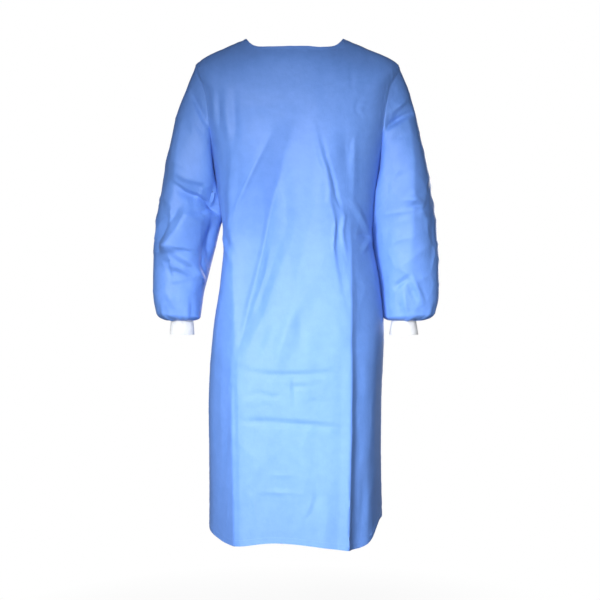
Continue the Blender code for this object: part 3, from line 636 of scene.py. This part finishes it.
def back_panel(side):
    """One back panel, side seam to the far edge of the overlap. The left one lies on the right one."""
    rows = torso_rows()
    cut = armhole_cut(ARMHOLE_BACK)
    edge = SIDE + cut
    edge = edge + np.where(cut > 1e-6, 2.0, 1.0) * seam_inset(rows, edge)
    row = torso_row(rows)
    overlap = np.arcsin((BACK_OVERLAP / row["half_width"]) ** (row["square"] / 2.0))
    steady = np.full_like(edge, math.radians(BACK_STEADY))
    beside = columns_between(steady, edge, SIDE_COLUMNS, 0.6)[:, ::-1]
    middle = columns_between(steady, BACK - overlap, BACK_COLUMNS)
    over = columns_between(BACK - overlap, BACK + overlap, OVERLAP_COLUMNS, 0.5)
    angle = np.concatenate([beside[:, :-1], middle, over[:, 1:]], axis=1)
    lift = np.zeros_like(angle)
    if side == "left":
        start = (SIDE_COLUMNS + BACK_COLUMNS) / angle.shape[1]
        rise = (np.linspace(0.0, 1.0, angle.shape[1]) - 0.72 * start) / (0.26 * start)
        lift += LAYER_LIFT * smooth(rise)
    else:
        angle = 2 * BACK - angle
    return torso_panel(f"back_panel_{side}", angle, lift, (0,))


# ---------------------------------------------------------------- sleeves and cuffs
def armhole_ring(side):
    """The armhole's outline on the torso, from the shoulder point down the front and up the back."""
    turn, at = armhole_rows()
    front = side * (SIDE - math.radians(ARMHOLE_FRONT) * np.sin(turn))
    back = side * (SIDE + math.radians(ARMHOLE_BACK) * np.sin(turn))
    at = np.concatenate([at, at[-2:0:-1]])
    angle = np.concatenate([front, back[-2:0:-1]])
    return torso_surface(at, angle)


def ring_turns(count):
    """Angles round the arm: 0 on its outer side, pi / 2 in front, pi against the body."""
    return np.arange(count) * 2 * math.pi / count


def sleeve_loops(arm, at, turns):
    """Loops round the arm at fractional rows of the sleeve's table, with no folds."""
    row = {name: between(SLEEVE, at, i) for i, name in enumerate(SLEEVE_COLUMNS)}
    inner_x = row["inner_x"] + arm["inner_swing"] * row["swing"]
    outer_end = np.stack([row["outer_x"], row["mid_y"], row["outer_z"]], axis=-1)
    inner_end = np.stack([inner_x, row["mid_y"], row["inner_z"]], axis=-1)
    middle = (outer_end + inner_end) / 2
    reach = (outer_end - inner_end) / 2
    ahead = np.stack([0 * inner_x, -row["half_depth"], 0 * inner_x], axis=-1)
    power = 2.0 / SLEEVE_SQUARE
    across = signed_power(np.cos(turns), power)
    forward = signed_power(np.sin(turns), power)
    loop = middle + reach * across[..., None] + ahead * forward[..., None]
    loop[..., 0] *= arm["side"]
    return loop


def torso_reach(side, y, z):
    """How far from the middle plane the torso's surface is at places level with its side."""
    angle = np.full_like(y, side * SIDE)
    for _ in range(5):
        at = row_at(z, angle)
        row = torso_row(at)
        depth = np.where(y < row["mid_y"], row["front"], row["back"])
        ahead = np.clip((row["mid_y"] - y) / depth, -1.0, 1.0)
        angle = side * (SIDE - np.arcsin(signed_power(ahead, row["square"] / 2.0)))
    return side * torso_form(at, angle)[..., 0]


def keep_clear(arm, form, at):
    """The sleeve's loops moved out to where they clear the torso's side, by less near the armhole."""
    clear = SLEEVE_CLEAR * smooth(at * CAD_ROWS / 1.5)[:, None]
    least = torso_reach(arm["side"], form[..., 1], form[..., 2]) + clear
    out = form[..., 0] * arm["side"]
    form[..., 0] = arm["side"] * np.maximum(out, least)
    return form


def cuff_loop(arm, turns, grow, z):
    """A loop round the wrist, grow metres outside the cuff's outer face, at height z."""
    down = np.clip((SLEEVE_END_Z - z) / (CUFF_LENGTH - CUFF_TUCKED), 0.0, 1.0)
    half = arm["cuff_half"] * (1.0 + (arm["flare"] - 1.0) * down) + grow
    x = arm["side"] * (arm["cuff_x"] + half * np.cos(turns))
    y = SLEEVE[-1][5] - (half * CUFF_DEPTH_SHARE) * np.sin(turns)
    return np.stack([x, y, np.full_like(x, z)], axis=-1)


def end_loops(arm, turns, shares):
    """The sleeve's end, turned in from its last loop to just outside the cuff."""
    last = sleeve_loops(arm, np.full_like(turns, len(SLEEVE) - 1.0), turns)
    mouth = cuff_loop(arm, turns, CUFF_GAP, SLEEVE_END_Z)
    loops = []
    for share in shares:
        loop = last + (mouth - last) * share
        # The cloth rounds down before it runs in to the cuff.
        loop[..., 2] = last[..., 2] + (SLEEVE_END_Z - last[..., 2]) * math.sin(share * math.pi / 2) ** 0.5
        loops.append(loop)
    return np.stack(loops)


def loop_normals(points, side):
    """Outward unit normals of a grid of loops, from the differences between its points."""
    down = np.gradient(points, axis=0)
    round_ = np.roll(points, -1, axis=1) - np.roll(points, 1, axis=1)
    return unit(np.cross(down, round_)) * -side


def sleeve(side_name):
    arm = ARM_SIDES[side_name]
    side = arm["side"]
    ring, ring_normals = armhole_ring(side)
    turns = ring_turns(len(ring))
    under = smooth((-np.cos(turns) - 0.2) / 0.8)
    outward = np.array([side * UNDERARM_CLEAR, 0.0, 0.0006])
    rows = np.linspace(0.0, len(SLEEVE) - 1.0, SLEEVE_ROWS + 1)
    at, turn = np.broadcast_arrays(rows[:, None], turns[None, :])
    start = sleeve_loops(arm, np.zeros_like(at), turn)
    fade = (1.0 - smooth(at / SLEEVE_BLEND))[..., None]
    form = sleeve_loops(arm, at, turn) + fade * (ring + under[:, None] * outward - start)
    form[0] += unit(form[10] - form[0]) * SEAM_GAP
    form[1:] = keep_clear(arm, form, rows)[1:]
    ends = np.linspace(0.0, 1.0, END_ROWS + 1)[1:] ** 1.5
    form = np.concatenate([form, end_loops(arm, turns, ends)])
    normals = loop_normals(form, side)
    down = np.concatenate([rows, rows[-1] + 2.4 * ends])[:, None]  # fractional rows, past the table's end
    # Folds and wrinkles fade at the armhole, where the sleeve is sewn to the torso, and at the cuff.
    near = smooth(down * CAD_ROWS / 1.6) * smooth((12.6 - down) / 2.2)
    rise = fold_rise(SLEEVE_FOLDS[side_name], form, normals) * near
    inner = smooth((-np.cos(turns) - 0.2) / 0.5)[None, :]  # the part that lies against the body
    elbow = 0.5 + bump(down - 5.6, 2.2)
    seed = 31.7 + 5.0 * side
    wrinkles = 0.0020 * waver(form, (0.090, 0.090, 0.100), seed)
    wrinkles += 0.0008 * elbow * waver(form, (0.040, 0.040, 0.036), seed + 2.0)
    wrinkles += 0.0018 * elbow * crumple(form, (0.085, 0.085, 0.075), seed + 4.0)
    rise += wrinkles * near * (1.0 - 0.8 * inner)
    # pleats where the sleeve's end is gathered on to the cuff
    pleats = sum(
        share * np.cos(count * turn[0] + phase)
        for count, phase, share in ((7, 0.4 + side, 0.45), (11, 2.1, 0.35), (17, 4.0 + side, 0.3))
    )
    gather = smooth((down - 8.4) / 2.4) * smooth((12.45 - down) / 0.8)
    rise += 0.0020 * gather * pleats[None, :] * (1.0 - 0.5 * inner)
    outer = form + normals * rise[..., None]
    armhole = distance_to(outer, dense(np.concatenate([outer[0], outer[:1, 0]])))
    extra = seam_lift(armhole) + pucker(outer, armhole, 14.2) * smooth(down * 3.0)
    underarm = distance_to(outer, dense(outer[:, len(turns) // 2]))
    extra += (0.0005 * bump(underarm, 0.0020) + pucker(outer, underarm, 17.9) * 0.5) * near
    outer = outer + normals * (extra * smooth(down * 4.0))[..., None]
    own = smooth((-np.cos(turns) + 0.3) / 0.6)[:, None]
    normals = loop_normals(outer, side)
    normals[0] = unit((1.0 - own) * ring_normals + own * normals[0])
    normals[-1] = (0.0, 0.0, -1.0)
    return outer, normals


def cuff(side_name):
    """A tube of rib knit, its ribs standing out between narrow grooves."""
    arm = ARM_SIDES[side_name]
    count = CUFF_RIBS * RIB_COLUMNS
    turns = ring_turns(count)
    share = np.linspace(0.0, 1.0, CUFF_ROWS + 1)
    heights = SLEEVE_END_Z + CUFF_TUCKED - CUFF_LENGTH * share
    uneven = 0.06 * np.sin(3 * turns + 0.7) + 0.04 * np.sin(7 * turns + 2.0)
    rib = np.abs(np.cos(turns * CUFF_RIBS / 2.0 + uneven)) ** 0.7
    outer, inner = [], []
    for s, z in zip(share, heights):
        grip = 0.0007 * math.sin(math.pi * s) * np.sin(2 * turns + 1.0 + 2.0 * s)
        edge = 0.0005 * (1.0 - smooth((1.0 - s) / 0.06))
        out = -0.0004 - 0.0009 * (1.0 - rib) + grip * (1.0 - smooth((0.25 - s) / 0.1)) - edge
        outer.append(cuff_loop(arm, turns, out, z))
        inner.append(cuff_loop(arm, turns, out - KNIT + 0.0004 * rib + 2 * edge, z))
    return np.stack(outer), np.stack(inner)


# ---------------------------------------------------------------- closures
def tape_line(tape):
    """A tape's centre line as places on the back and lifts, with the directions along and across it."""
    nodes = np.array(tape["path"])
    lengths = lengths_along(nodes[:, :2])
    steps = np.linspace(0.0, lengths[-1], tape["rows"] + 1)
    line = at_lengths(steps, lengths, nodes)
    for _ in range(12):
        line[1:-1] = (line[:-2] + 2 * line[1:-1] + line[2:]) / 4
    ahead = unit(np.gradient(line[:, :2], axis=0))
    across = np.stack([-ahead[:, 1], ahead[:, 0]], axis=-1)
    return line, across, steps / lengths[-1]


def tape(row):
    """A flat tape with stitched edges. The ties narrow into pleats where they enter the knot."""
    made = dict(zip(TAPE_COLUMNS, row))
    name = made["name"]
    line, across, share = tape_line(made)
    gathered = np.zeros_like(share)
    if name.startswith("waist_tie"):
        gathered = smooth((share - 0.62) / 0.38)
    elif name.startswith("tie_end"):
        gathered = 1.0 - smooth(share / 0.28)
    side = np.linspace(-0.5, 0.5, TAPE_ACROSS + 1)
    width = made["width"] * (1.0 - 0.42 * gathered)
    places = side[None, :] * width[:, None]
    x = line[:, 0:1] + across[:, 0:1] * places
    z = line[:, 1:2] + across[:, 1:2] * places
    pleats = 0.0016 * gathered[:, None] * (0.5 + 0.5 * np.cos(3 * 2 * math.pi * side + 0.6))[None, :]
    hems = 0.0004 * smooth((np.abs(side) - 0.37) / 0.05)[None, :]
    if name == "neck_tab":
        curl = np.zeros((len(share), 1))
    else:
        wave = 0.5 + 0.5 * np.sin(share * 9.0 + len(name))
        curl = (0.0010 * wave * (1.0 - gathered))[:, None] * (2 * side[None, :]) ** 2
    lift = line[:, 2:3] + pleats + hems + curl
    inner = on_back(x, z, lift)[0]
    outer, normals = on_back(x, z, lift + TAPE)
    return outer, inner, normals


def knot():
    """The two ties knotted: a gathered band across, and another wrapped over it."""
    x, z = (np.array([value]) for value in KNOT_PLACE)
    middle = on_back(x, z, np.array([KNOT_LIFT]))[0][0]
    half = np.array(KNOT_HALF_SIZE)
    rows, columns = KNOT_GRID
    shapes = []
    # each band's share of the knot's size, its long axis, its number of pleats and their start
    bands = (((1.0, 0.78, 0.72), 0, 9, 0.3), ((0.62, 1.0, 1.0), 2, 8, 1.9))
    for shrink, long_axis, pleat_count, seed in bands:
        turn = np.linspace(0.0, 2 * math.pi, columns, endpoint=False)[None, :]
        down = np.linspace(0.001, math.pi - 0.001, rows)[:, None]
        # the poles lie on the band's long axis, so that its pleats run from pole to pole
        body = np.sin(down) ** 0.75
        ripple = 1.0 + 0.07 * np.sin(pleat_count * turn + seed + 0.8 * np.cos(down)) * np.sin(down)
        ripple += 0.04 * np.sin((pleat_count * 2 + 1) * turn + 2 * seed) * np.sin(down)
        long_ = np.cos(down) + 0 * turn
        one = body * np.cos(turn) * ripple
        two = body * np.sin(turn) * ripple
        shape = np.stack([long_, one, two] if long_axis == 0 else [one, two, long_], axis=-1)
        shapes.append(middle + shape * half * np.array(shrink) * 0.97)
    return shapes


# ---------------------------------------------------------------- materials
def node(tree, kind, **values):
    """A shader node. A value that is a socket is linked, and any other is set. _0 is the first input."""
    made = tree.nodes.new(kind)
    for name, value in values.items():
        if hasattr(made, name):
            setattr(made, name, value)
            continue
        key = int(name[1:]) if name[0] == "_" else name.replace("_", " ")
        if isinstance(value, bpy.types.NodeSocket):
            tree.links.new(value, made.inputs[key])
        else:
            made.inputs[key].default_value = value
    return made


def maths(tree, operation, *values):
    numbered = {f"_{i}": value for i, value in enumerate(values)}
    return node(tree, "ShaderNodeMath", operation=operation, **numbered).outputs[0]


def clouded(tree, place, scale, detail, roughness, distortion=0.0):
    return node(
        tree, "ShaderNodeTexNoise", Vector=place, Scale=scale, Detail=detail, Roughness=roughness,
        Distortion=distortion,
    ).outputs[0]


def raised(tree, strength, distance, height, **below):
    return node(
        tree, "ShaderNodeBump", Strength=strength, Distance=distance, Height=height, **below
    ).outputs[0]


def wave(tree, value, length):
    """A sine whose half turn is length metres of the cloth."""
    return maths(tree, "SINE", maths(tree, "MULTIPLY", value, math.pi / length))


def ramp(tree, value, stops):
    """A colour or grey ramp from (place, colour) stops."""
    made = node(tree, "ShaderNodeValToRGB", Fac=value)
    elements = made.color_ramp.elements
    while len(elements) < len(stops):
        elements.new(0.5)
    for element, (place, colour) in zip(elements, stops):
        element.position = place
        element.color = (*colour, 1.0)
    return made.outputs[0]


def shader_of(name):
    made = bpy.data.materials.new(name)
    made.use_nodes = True
    tree = made.node_tree
    shader = tree.nodes["Principled BSDF"]
    return made, tree, shader


def nonwoven(name, dark, light):
    """Spunbond cloth: cloudy fibres, point bonds in a regular grid, and a faint sheen."""
    made, tree, shader = shader_of(name)
    uv = node(tree, "ShaderNodeTexCoord").outputs["UV"]
    place = node(tree, "ShaderNodeTexCoord").outputs["Object"]
    clouds = clouded(tree, uv, 42.0, 7.0, 0.62)
    broad = clouded(tree, place, 6.0, 3.0, 0.5)
    fibre_place = node(tree, "ShaderNodeMapping", Vector=uv, Scale=(1.0, 0.35, 1.0)).outputs[0]
    fibres = clouded(tree, fibre_place, 900.0, 4.0, 0.7, 0.6)
    mixed = maths(tree, "MULTIPLY_ADD", clouds, 0.45, maths(tree, "MULTIPLY", broad, 0.2))
    mixed = maths(tree, "MULTIPLY_ADD", fibres, 0.35, mixed)
    colour = ramp(tree, mixed, ((0.36, dark), (0.64, light)))
    tree.links.new(colour, shader.inputs["Base Color"])
    split = node(tree, "ShaderNodeSeparateXYZ", Vector=uv)
    across, along = (wave(tree, split.outputs[i], BOND_PITCH) for i in range(2))
    bonds = maths(tree, "ABSOLUTE", maths(tree, "MULTIPLY", across, along))
    bonds = maths(tree, "SMOOTH_MIN", bonds, 0.8, 0.2)
    wrinkle_place = node(tree, "ShaderNodeMapping", Vector=uv, Scale=(1.0, 0.6, 1.0)).outputs[0]
    wrinkles = clouded(tree, wrinkle_place, 70.0, 3.0, 0.5, 0.9)
    bumped = raised(tree, 0.45, 0.0012, wrinkles)
    bumped = raised(tree, 0.35, 0.00012, fibres, Normal=bumped)
    bumped = raised(tree, 0.35, 0.00012, bonds, Normal=bumped)
    tree.links.new(bumped, shader.inputs["Normal"])
    rough = maths(tree, "MULTIPLY_ADD", clouds, 0.12, 0.52)
    tree.links.new(rough, shader.inputs["Roughness"])
    shader.inputs["Specular IOR Level"].default_value = 0.5
    shader.inputs["Sheen Weight"].default_value = 0.05
    shader.inputs["Sheen Roughness"].default_value = 0.45
    shader.inputs["Sheen Tint"].default_value = (0.75, 0.86, 1.0, 1.0)
    return made


def knitted(name):
    """White rib knit: small V stitches along each rib, with painted shade in the grooves between the
    stitches.
    """
    made, tree, shader = shader_of(name)
    uv = node(tree, "ShaderNodeTexCoord").outputs["UV"]
    split = node(tree, "ShaderNodeSeparateXYZ", Vector=uv)
    lean = maths(tree, "ABSOLUTE", wave(tree, split.outputs[0], KNIT_COLUMN))
    row = maths(tree, "MULTIPLY", split.outputs[1], 2 * math.pi / KNIT_ROW)
    row = maths(tree, "MULTIPLY_ADD", lean, 1.6, row)
    stitch = maths(tree, "MULTIPLY_ADD", maths(tree, "SINE", row), 0.5, 0.5)
    fuzz = clouded(tree, uv, 1500.0, 3.0, 0.6)
    height = maths(tree, "MULTIPLY_ADD", fuzz, 0.35, stitch)
    # painted shade: the colour is darker in the grooves between the stitches, and the fuzz adds random tone
    groove_shade_and_fuzz = maths(tree, "MULTIPLY_ADD", stitch, 0.35, maths(tree, "MULTIPLY", fuzz, 0.5))
    colour = ramp(tree, groove_shade_and_fuzz, ((0.10, (0.56, 0.58, 0.61)), (0.75, (0.80, 0.81, 0.82))))
    tree.links.new(colour, shader.inputs["Base Color"])
    bumped = raised(tree, 0.6, 0.0004, height)
    tree.links.new(bumped, shader.inputs["Normal"])
    shader.inputs["Roughness"].default_value = 0.86
    shader.inputs["Sheen Weight"].default_value = 0.2
    shader.inputs["Specular IOR Level"].default_value = 0.2
    return made


def threaded(name, colour):
    """Sewing thread, twisted, with painted shade in the grooves of the twist."""
    made, tree, shader = shader_of(name)
    place = node(tree, "ShaderNodeTexCoord").outputs["Object"]
    twist = node(tree, "ShaderNodeTexWave", Vector=place, Scale=900.0, Distortion=2.0, Detail=1.0).outputs[1]
    # painted shade: the colour is darker where the twist's bump is low
    tone = ramp(tree, twist, ((0.0, tuple(0.8 * c for c in colour)), (1.0, colour)))
    tree.links.new(tone, shader.inputs["Base Color"])
    bumped = raised(tree, 0.5, 0.0001, twist)
    tree.links.new(bumped, shader.inputs["Normal"])
    shader.inputs["Roughness"].default_value = 0.55
    return made


BLUE_DARK = (0.105, 0.245, 0.665)
BLUE_LIGHT = (0.140, 0.292, 0.755)
gown_cloth = nonwoven("gown_cloth", BLUE_DARK, BLUE_LIGHT)
tie_cloth = nonwoven("tie_tape", tuple(0.95 * c for c in BLUE_DARK), tuple(0.97 * c for c in BLUE_LIGHT))
cuff_knit = knitted("cuff_knit")
blue_thread = threaded("blue_thread", (0.20, 0.38, 0.80))


# ---------------------------------------------------------------- meshes
def joined(grid):
    """A grid of loops with its first column again at the end."""
    return np.concatenate([grid, grid[:, :1]], axis=1)


def cloth_piece(name, outer, inner, finish, closed=False):
    """A thin wall between two grids of points, with its rims, and a UV map in metres along the cloth."""
    rows, columns = outer.shape[:2]
    grid = np.arange(rows * columns).reshape(rows, columns)
    measured = outer
    edges = [((0, slice(None)), 1), ((rows - 1, slice(None)), -1)]
    if closed:
        grid, measured = joined(grid), joined(outer)
    else:
        edges += [((slice(None), 0), -1), ((slice(None), columns - 1), 1)]
    u = lengths_along(measured, 1)
    u = u - u[:, [u.shape[1] // 2]]
    v = np.broadcast_to(lengths_along(measured, 0).mean(axis=1, keepdims=True), u.shape)
    maps = np.stack([u, v], axis=-1)

    def quads(a, b, c, d):
        return np.stack([a, b, c, d], axis=-1).reshape(-1, 4)

    offset = rows * columns
    n, s, w, e = slice(None, -1), slice(1, None), slice(None, -1), slice(1, None)
    sides = [(grid[n, w], grid[s, w], grid[s, e], grid[n, e])]
    sides.append(tuple(part + offset for part in sides[0][::-1]))
    uv_out = (maps[n, w], maps[s, w], maps[s, e], maps[n, e])
    uvs = [uv_out, uv_out[::-1]]
    for edge, turn in edges:
        a, b = grid[edge][:-1], grid[edge][1:]
        sides.append(tuple(x[None] for x in (a, b, b + offset, a + offset)[::turn]))
        a, b = maps[edge][:-1], maps[edge][1:]
        uvs.append(tuple(x[None] for x in (a, b, b, a)[::turn]))
    faces = np.concatenate([quads(*corners) for corners in sides])
    face_uv = np.concatenate([np.stack(corner, axis=-2).reshape(-1, 4, 2) for corner in uvs])
    # The outside has to face away from the inside.
    first = faces[: (rows - 1) * (len(grid[0]) - 1)]
    points = np.concatenate([outer.reshape(-1, 3), inner.reshape(-1, 3)])
    crossed = np.cross(points[first[:, 1]] - points[first[:, 0]], points[first[:, 2]] - points[first[:, 0]])
    outward = (outer - inner).reshape(-1, 3)[first[:, 0]]
    if (crossed * outward).sum() < 0:
        faces = faces[:, ::-1]
        face_uv = face_uv[:, ::-1]
    mesh = bpy.data.meshes.new(name)
    mesh.from_pydata(points.tolist(), [], faces.tolist())
    layer = mesh.uv_layers.new(name="cloth")
    layer.data.foreach_set("uv", np.ascontiguousarray(face_uv).ravel())
    mesh.shade_smooth()
    mesh.set_sharp_from_angle(angle=math.radians(60))
    return place_piece(name, mesh, finish)


def added(name, data):
    made = bpy.data.objects.new(name, data)
    bpy.context.scene.collection.objects.link(made)
    return made


def place_piece(name, mesh, finish):
    made = added(name, mesh)
    mesh.materials.append(finish)
    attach(made, "root")
    return made


def closed_shapes(name, shapes, finish):
    """Closed surfaces from grids whose rows are loops, with a point at each end."""
    points, faces = [], []
    for shape in shapes:
        rows, columns = shape.shape[:2]
        base = len(points)
        points += shape.reshape(-1, 3).tolist()
        points += [shape[0].mean(axis=0).tolist(), shape[-1].mean(axis=0).tolist()]
        top, bottom = base + rows * columns, base + rows * columns + 1
        for c in range(columns):
            d = (c + 1) % columns
            for r in range(rows - 1):
                a, b = base + r * columns, base + (r + 1) * columns
                faces.append((a + c, b + c, b + d, a + d))
            faces.append((top, base + c, base + d))
            faces.append((bottom, base + (rows - 1) * columns + d, base + (rows - 1) * columns + c))
    mesh = bpy.data.meshes.new(name)
    mesh.from_pydata(points, [], faces)
    mesh.validate()
    layer = mesh.uv_layers.new(name="cloth")
    corners = np.array([points[loop.vertex_index] for loop in mesh.loops])
    layer.data.foreach_set("uv", np.ascontiguousarray(corners[:, [0, 2]]).ravel())
    mesh.shade_smooth()
    return place_piece(name, mesh, finish)


def stitches(name, lines, finish):
    """Rows of thread stitches along lines of (points, normals), lying on the cloth."""
    points, faces = [], []
    sides = THREAD_SIDES
    ring = [(math.cos(t), math.sin(t)) for t in np.arange(sides) * 2 * math.pi / sides]
    for line, normals in lines:
        lengths = lengths_along(line)
        for start in np.arange(0.5 * STITCH_PITCH, lengths[-1] - STITCH_PITCH, STITCH_PITCH):
            a, b = (at_lengths(end, lengths, line) for end in (start, start + STITCH))
            up = unit(at_lengths(start, lengths, normals))
            ahead = unit(b - a)
            across = np.cross(up, ahead)
            base = len(points)
            for place, girth in STITCH_PROFILE:
                middle = (a + b) / 2 + ahead * place * STITCH + up * THREAD * (0.9 * girth - 0.5)
                for c, s in ring:
                    points.append((middle + (across * c + up * s) * THREAD * girth).tolist())
            for r in range(len(STITCH_PROFILE) - 1):
                for c in range(sides):
                    d = (c + 1) % sides
                    k = base + r * sides
                    faces.append((k + c, k + sides + c, k + sides + d, k + d))
            faces.append(tuple(base + c for c in range(sides)))
            last = base + (len(STITCH_PROFILE) - 1) * sides
            faces.append(tuple(last + c for c in range(sides))[::-1])
    mesh = bpy.data.meshes.new(name)
    mesh.from_pydata(points, [], faces)
    mesh.shade_smooth()
    return place_piece(name, mesh, finish)


def edge_line(points, normals, edge, distance, reach):
    """A line on a grid, at a distance in from an edge, looked for in the reach cells beside the edge."""
    if edge in ("top", "bottom"):
        points, normals = points.swapaxes(0, 1), normals.swapaxes(0, 1)
    if edge in ("bottom", "end"):
        points, normals = points[:, ::-1], normals[:, ::-1]
    points, normals = points[:, :reach], normals[:, :reach]
    away = lengths_along(points, 1)
    line = [at_lengths(distance, far, place) for far, place in zip(away, points)]
    ups = [at_lengths(distance, far, up) for far, up in zip(away, normals)]
    return np.array(line), unit(np.array(ups))


# ---------------------------------------------------------------- camera, light and floor
camera_data = bpy.data.cameras.new("camera")
camera_data.lens = 65.0
camera_data.sensor_width = 36.0
camera = added("camera", camera_data)
camera.location = (0.0096, -2.6, -0.624)
camera.rotation_euler = (math.radians(90.0), 0.0, 0.0)
bpy.context.scene.camera = camera
bpy.context.scene.view_settings.view_transform = "Standard"


def area_light(name, place, target, size, watts, spread=180.0):
    data = bpy.data.lights.new(name, "AREA")
    data.shape = "DISK"
    data.spread = math.radians(spread)
    data.size = size
    data.energy = watts
    made = added(name, data)
    made.location = place
    made.rotation_euler = (Vector(target) - Vector(place)).to_track_quat("-Z", "Y").to_euler()


area_light("key", (-0.80, -1.85, -0.30), (0.34, 0.0, -1.22), 0.40, 7.5, 74.0)
area_light("key_middle", (-0.85, -1.85, -0.35), (0.34, 0.0, -0.90), 0.40, 1.8, 52.0)
area_light("top_fill", (-0.30, -2.10, 0.60), (0.15, 0.0, -0.70), 0.6, 3.0, 70.0)
area_light("front_fill", (0.30, -2.6, -0.70), (0.20, 0.0, -0.60), 0.8, 1.6, 100.0)
area_light("low_fill", (0.10, -2.4, -1.25), (0.05, 0.0, -1.05), 0.6, 2.2, 60.0)
area_light("side_fill", (1.50, -2.00, -0.60), (0.16, 0.0, -0.72), 0.8, 1.0, 50.0)
area_light("back_fill", (1.30, 2.50, -0.20), (0.0, 0.0, -0.60), 1.0, 42.0)

world = bpy.data.worlds.new("studio")
bpy.context.scene.world = world
world.use_nodes = True
tree = world.node_tree
background = tree.nodes["Background"]
seen = node(tree, "ShaderNodeLightPath").outputs["Is Camera Ray"]
level = maths(tree, "MULTIPLY_ADD", seen, 0.94, 0.06)
tree.links.new(level, background.inputs["Strength"])
background.inputs["Color"].default_value = (1.0, 1.0, 1.0, 1.0)

FLOOR_Z = -1.50
FLOOR_HALF = 12.0
floor_mesh = bpy.data.meshes.new("floor")
floor_mesh.from_pydata(
    [(x * FLOOR_HALF, y * FLOOR_HALF, 0.0) for x, y in ((-1, -1), (1, -1), (1, 1), (-1, 1))],
    [],
    [(0, 1, 2, 3)],
)
floor = added("floor", floor_mesh)
floor.location.z = FLOOR_Z
floor.visible_diffuse = False
floor.visible_glossy = False
floor_finish, tree, shader = shader_of("pale_floor")
shader.inputs["Base Color"].default_value = (0.9, 0.9, 0.9, 1.0)
shader.inputs["Roughness"].default_value = 0.9
place = node(tree, "ShaderNodeTexCoord").outputs["Object"]
from_middle = node(tree, "ShaderNodeVectorMath", operation="LENGTH", _0=place).outputs["Value"]
fade = node(tree, "ShaderNodeMapRange", Value=from_middle, _1=0.2, _2=1.0, _3=0.8, _4=1.0).outputs[0]
glow = node(tree, "ShaderNodeEmission", Color=(1.0, 1.0, 1.0, 1.0), Strength=1.0).outputs[0]
mix = node(tree, "ShaderNodeMixShader", Fac=fade, _1=shader.outputs[0], _2=glow)
tree.links.new(mix.outputs[0], tree.nodes["Material Output"].inputs["Surface"])
floor_mesh.materials.append(floor_finish)


# ---------------------------------------------------------------- the gown's pieces
# A row of stitches is (edge, distance in from it, cells to look in).
SHARED_EDGES = (
    ("top", NECK_STITCHES, 20),
    ("bottom", HEM_STITCHES, 14),
    ("start", SEAM_STITCHES, 20),
)
FRONT_EDGES = (*SHARED_EDGES, ("end", SEAM_STITCHES, 20))
BACK_EDGES = (*SHARED_EDGES, ("end", OVERLAP_STITCHES, 14))
SLEEVE_EDGES = (("top", SEAM_STITCHES, 6),)
TAPE_EDGES = (("start", TAPE_STITCHES, None), ("end", TAPE_STITCHES, None))
pieces = {}


def sew(key, solid, kind, outer, inner, finish, slot, normals=None, edges=(), closed=False):
    """Makes the cloth that stands for a solid, and the stitches along its edges."""
    pieces[key] = cloth_piece(f"{solid}_{kind}", outer, inner, finish, closed)
    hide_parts(solid)
    if edges:
        if closed:
            outer, normals = joined(outer), joined(normals)
        runs = [edge_line(outer, normals, *edge) for edge in edges]
        pieces[f"{key}_stitches"] = stitches(f"{key}_stitches", runs, blue_thread)


def sew_cloth(key, solid, made, edges, closed=False):
    outer, normals = made
    inner = outer - normals * CLOTH
    sew(key, solid, "cloth", outer, inner, gown_cloth, "gown_cloth", normals, edges, closed)


sew_cloth("front", "front_panel", front_panel(), FRONT_EDGES)
for side in ("left", "right"):
    sew_cloth(f"back_panel_{side}", f"back_panel_{side}", back_panel(side), BACK_EDGES)
    sew_cloth(f"sleeve_{side}", f"sleeve_{side}", sleeve(side), SLEEVE_EDGES, True)
    sew(f"cuff_{side}", f"cuff_{side}", "knit", *cuff(side), cuff_knit, "cuff_knit", closed=True)
for row in TAPES:
    outer, inner, normals = tape(row)
    sew(row[0], row[0], "tape", outer, inner, tie_cloth, "tie_tape", normals, TAPE_EDGES)
pieces["waist_knot"] = closed_shapes("waist_knot_tape", knot(), tie_cloth)
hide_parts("waist_knot")

# ---------------------------------------------------------------- what each sheet was cut to
# piece: width, length, area of the cut where it isn't a rectangle, how it is held
CUTS = {
    "front": (0.70, 1.20, 0.67, "hung"),
    "back_panel_left": (0.46, 1.17, 0.38, "hung"),
    "back_panel_right": (0.46, 1.17, 0.38, "hung"),
    "sleeve_left": (0.50, 0.62, 0.23, "hung"),
    "sleeve_right": (0.50, 0.62, 0.225, "hung"),
    "cuff_left": (0.205, 0.044, None, "stretched"),
    "cuff_right": (0.185, 0.044, None, "stretched"),
    "waist_tie_left": (0.030, 0.165, None, "stretched"),
    "waist_tie_right": (0.030, 0.155, None, "stretched"),
    "tie_end_left": (0.030, 0.235, None, "hung"),
    "tie_end_right": (0.030, 0.205, None, "hung"),
    "neck_tab": (0.033, 0.078, None, "laid"),
}
for name, (width, length, area, held) in CUTS.items():
    going = [pieces[f"{name}_stitches"]] if f"{name}_stitches" in pieces else []
    if name == "waist_tie_left":
        going.append(pieces["waist_knot"])
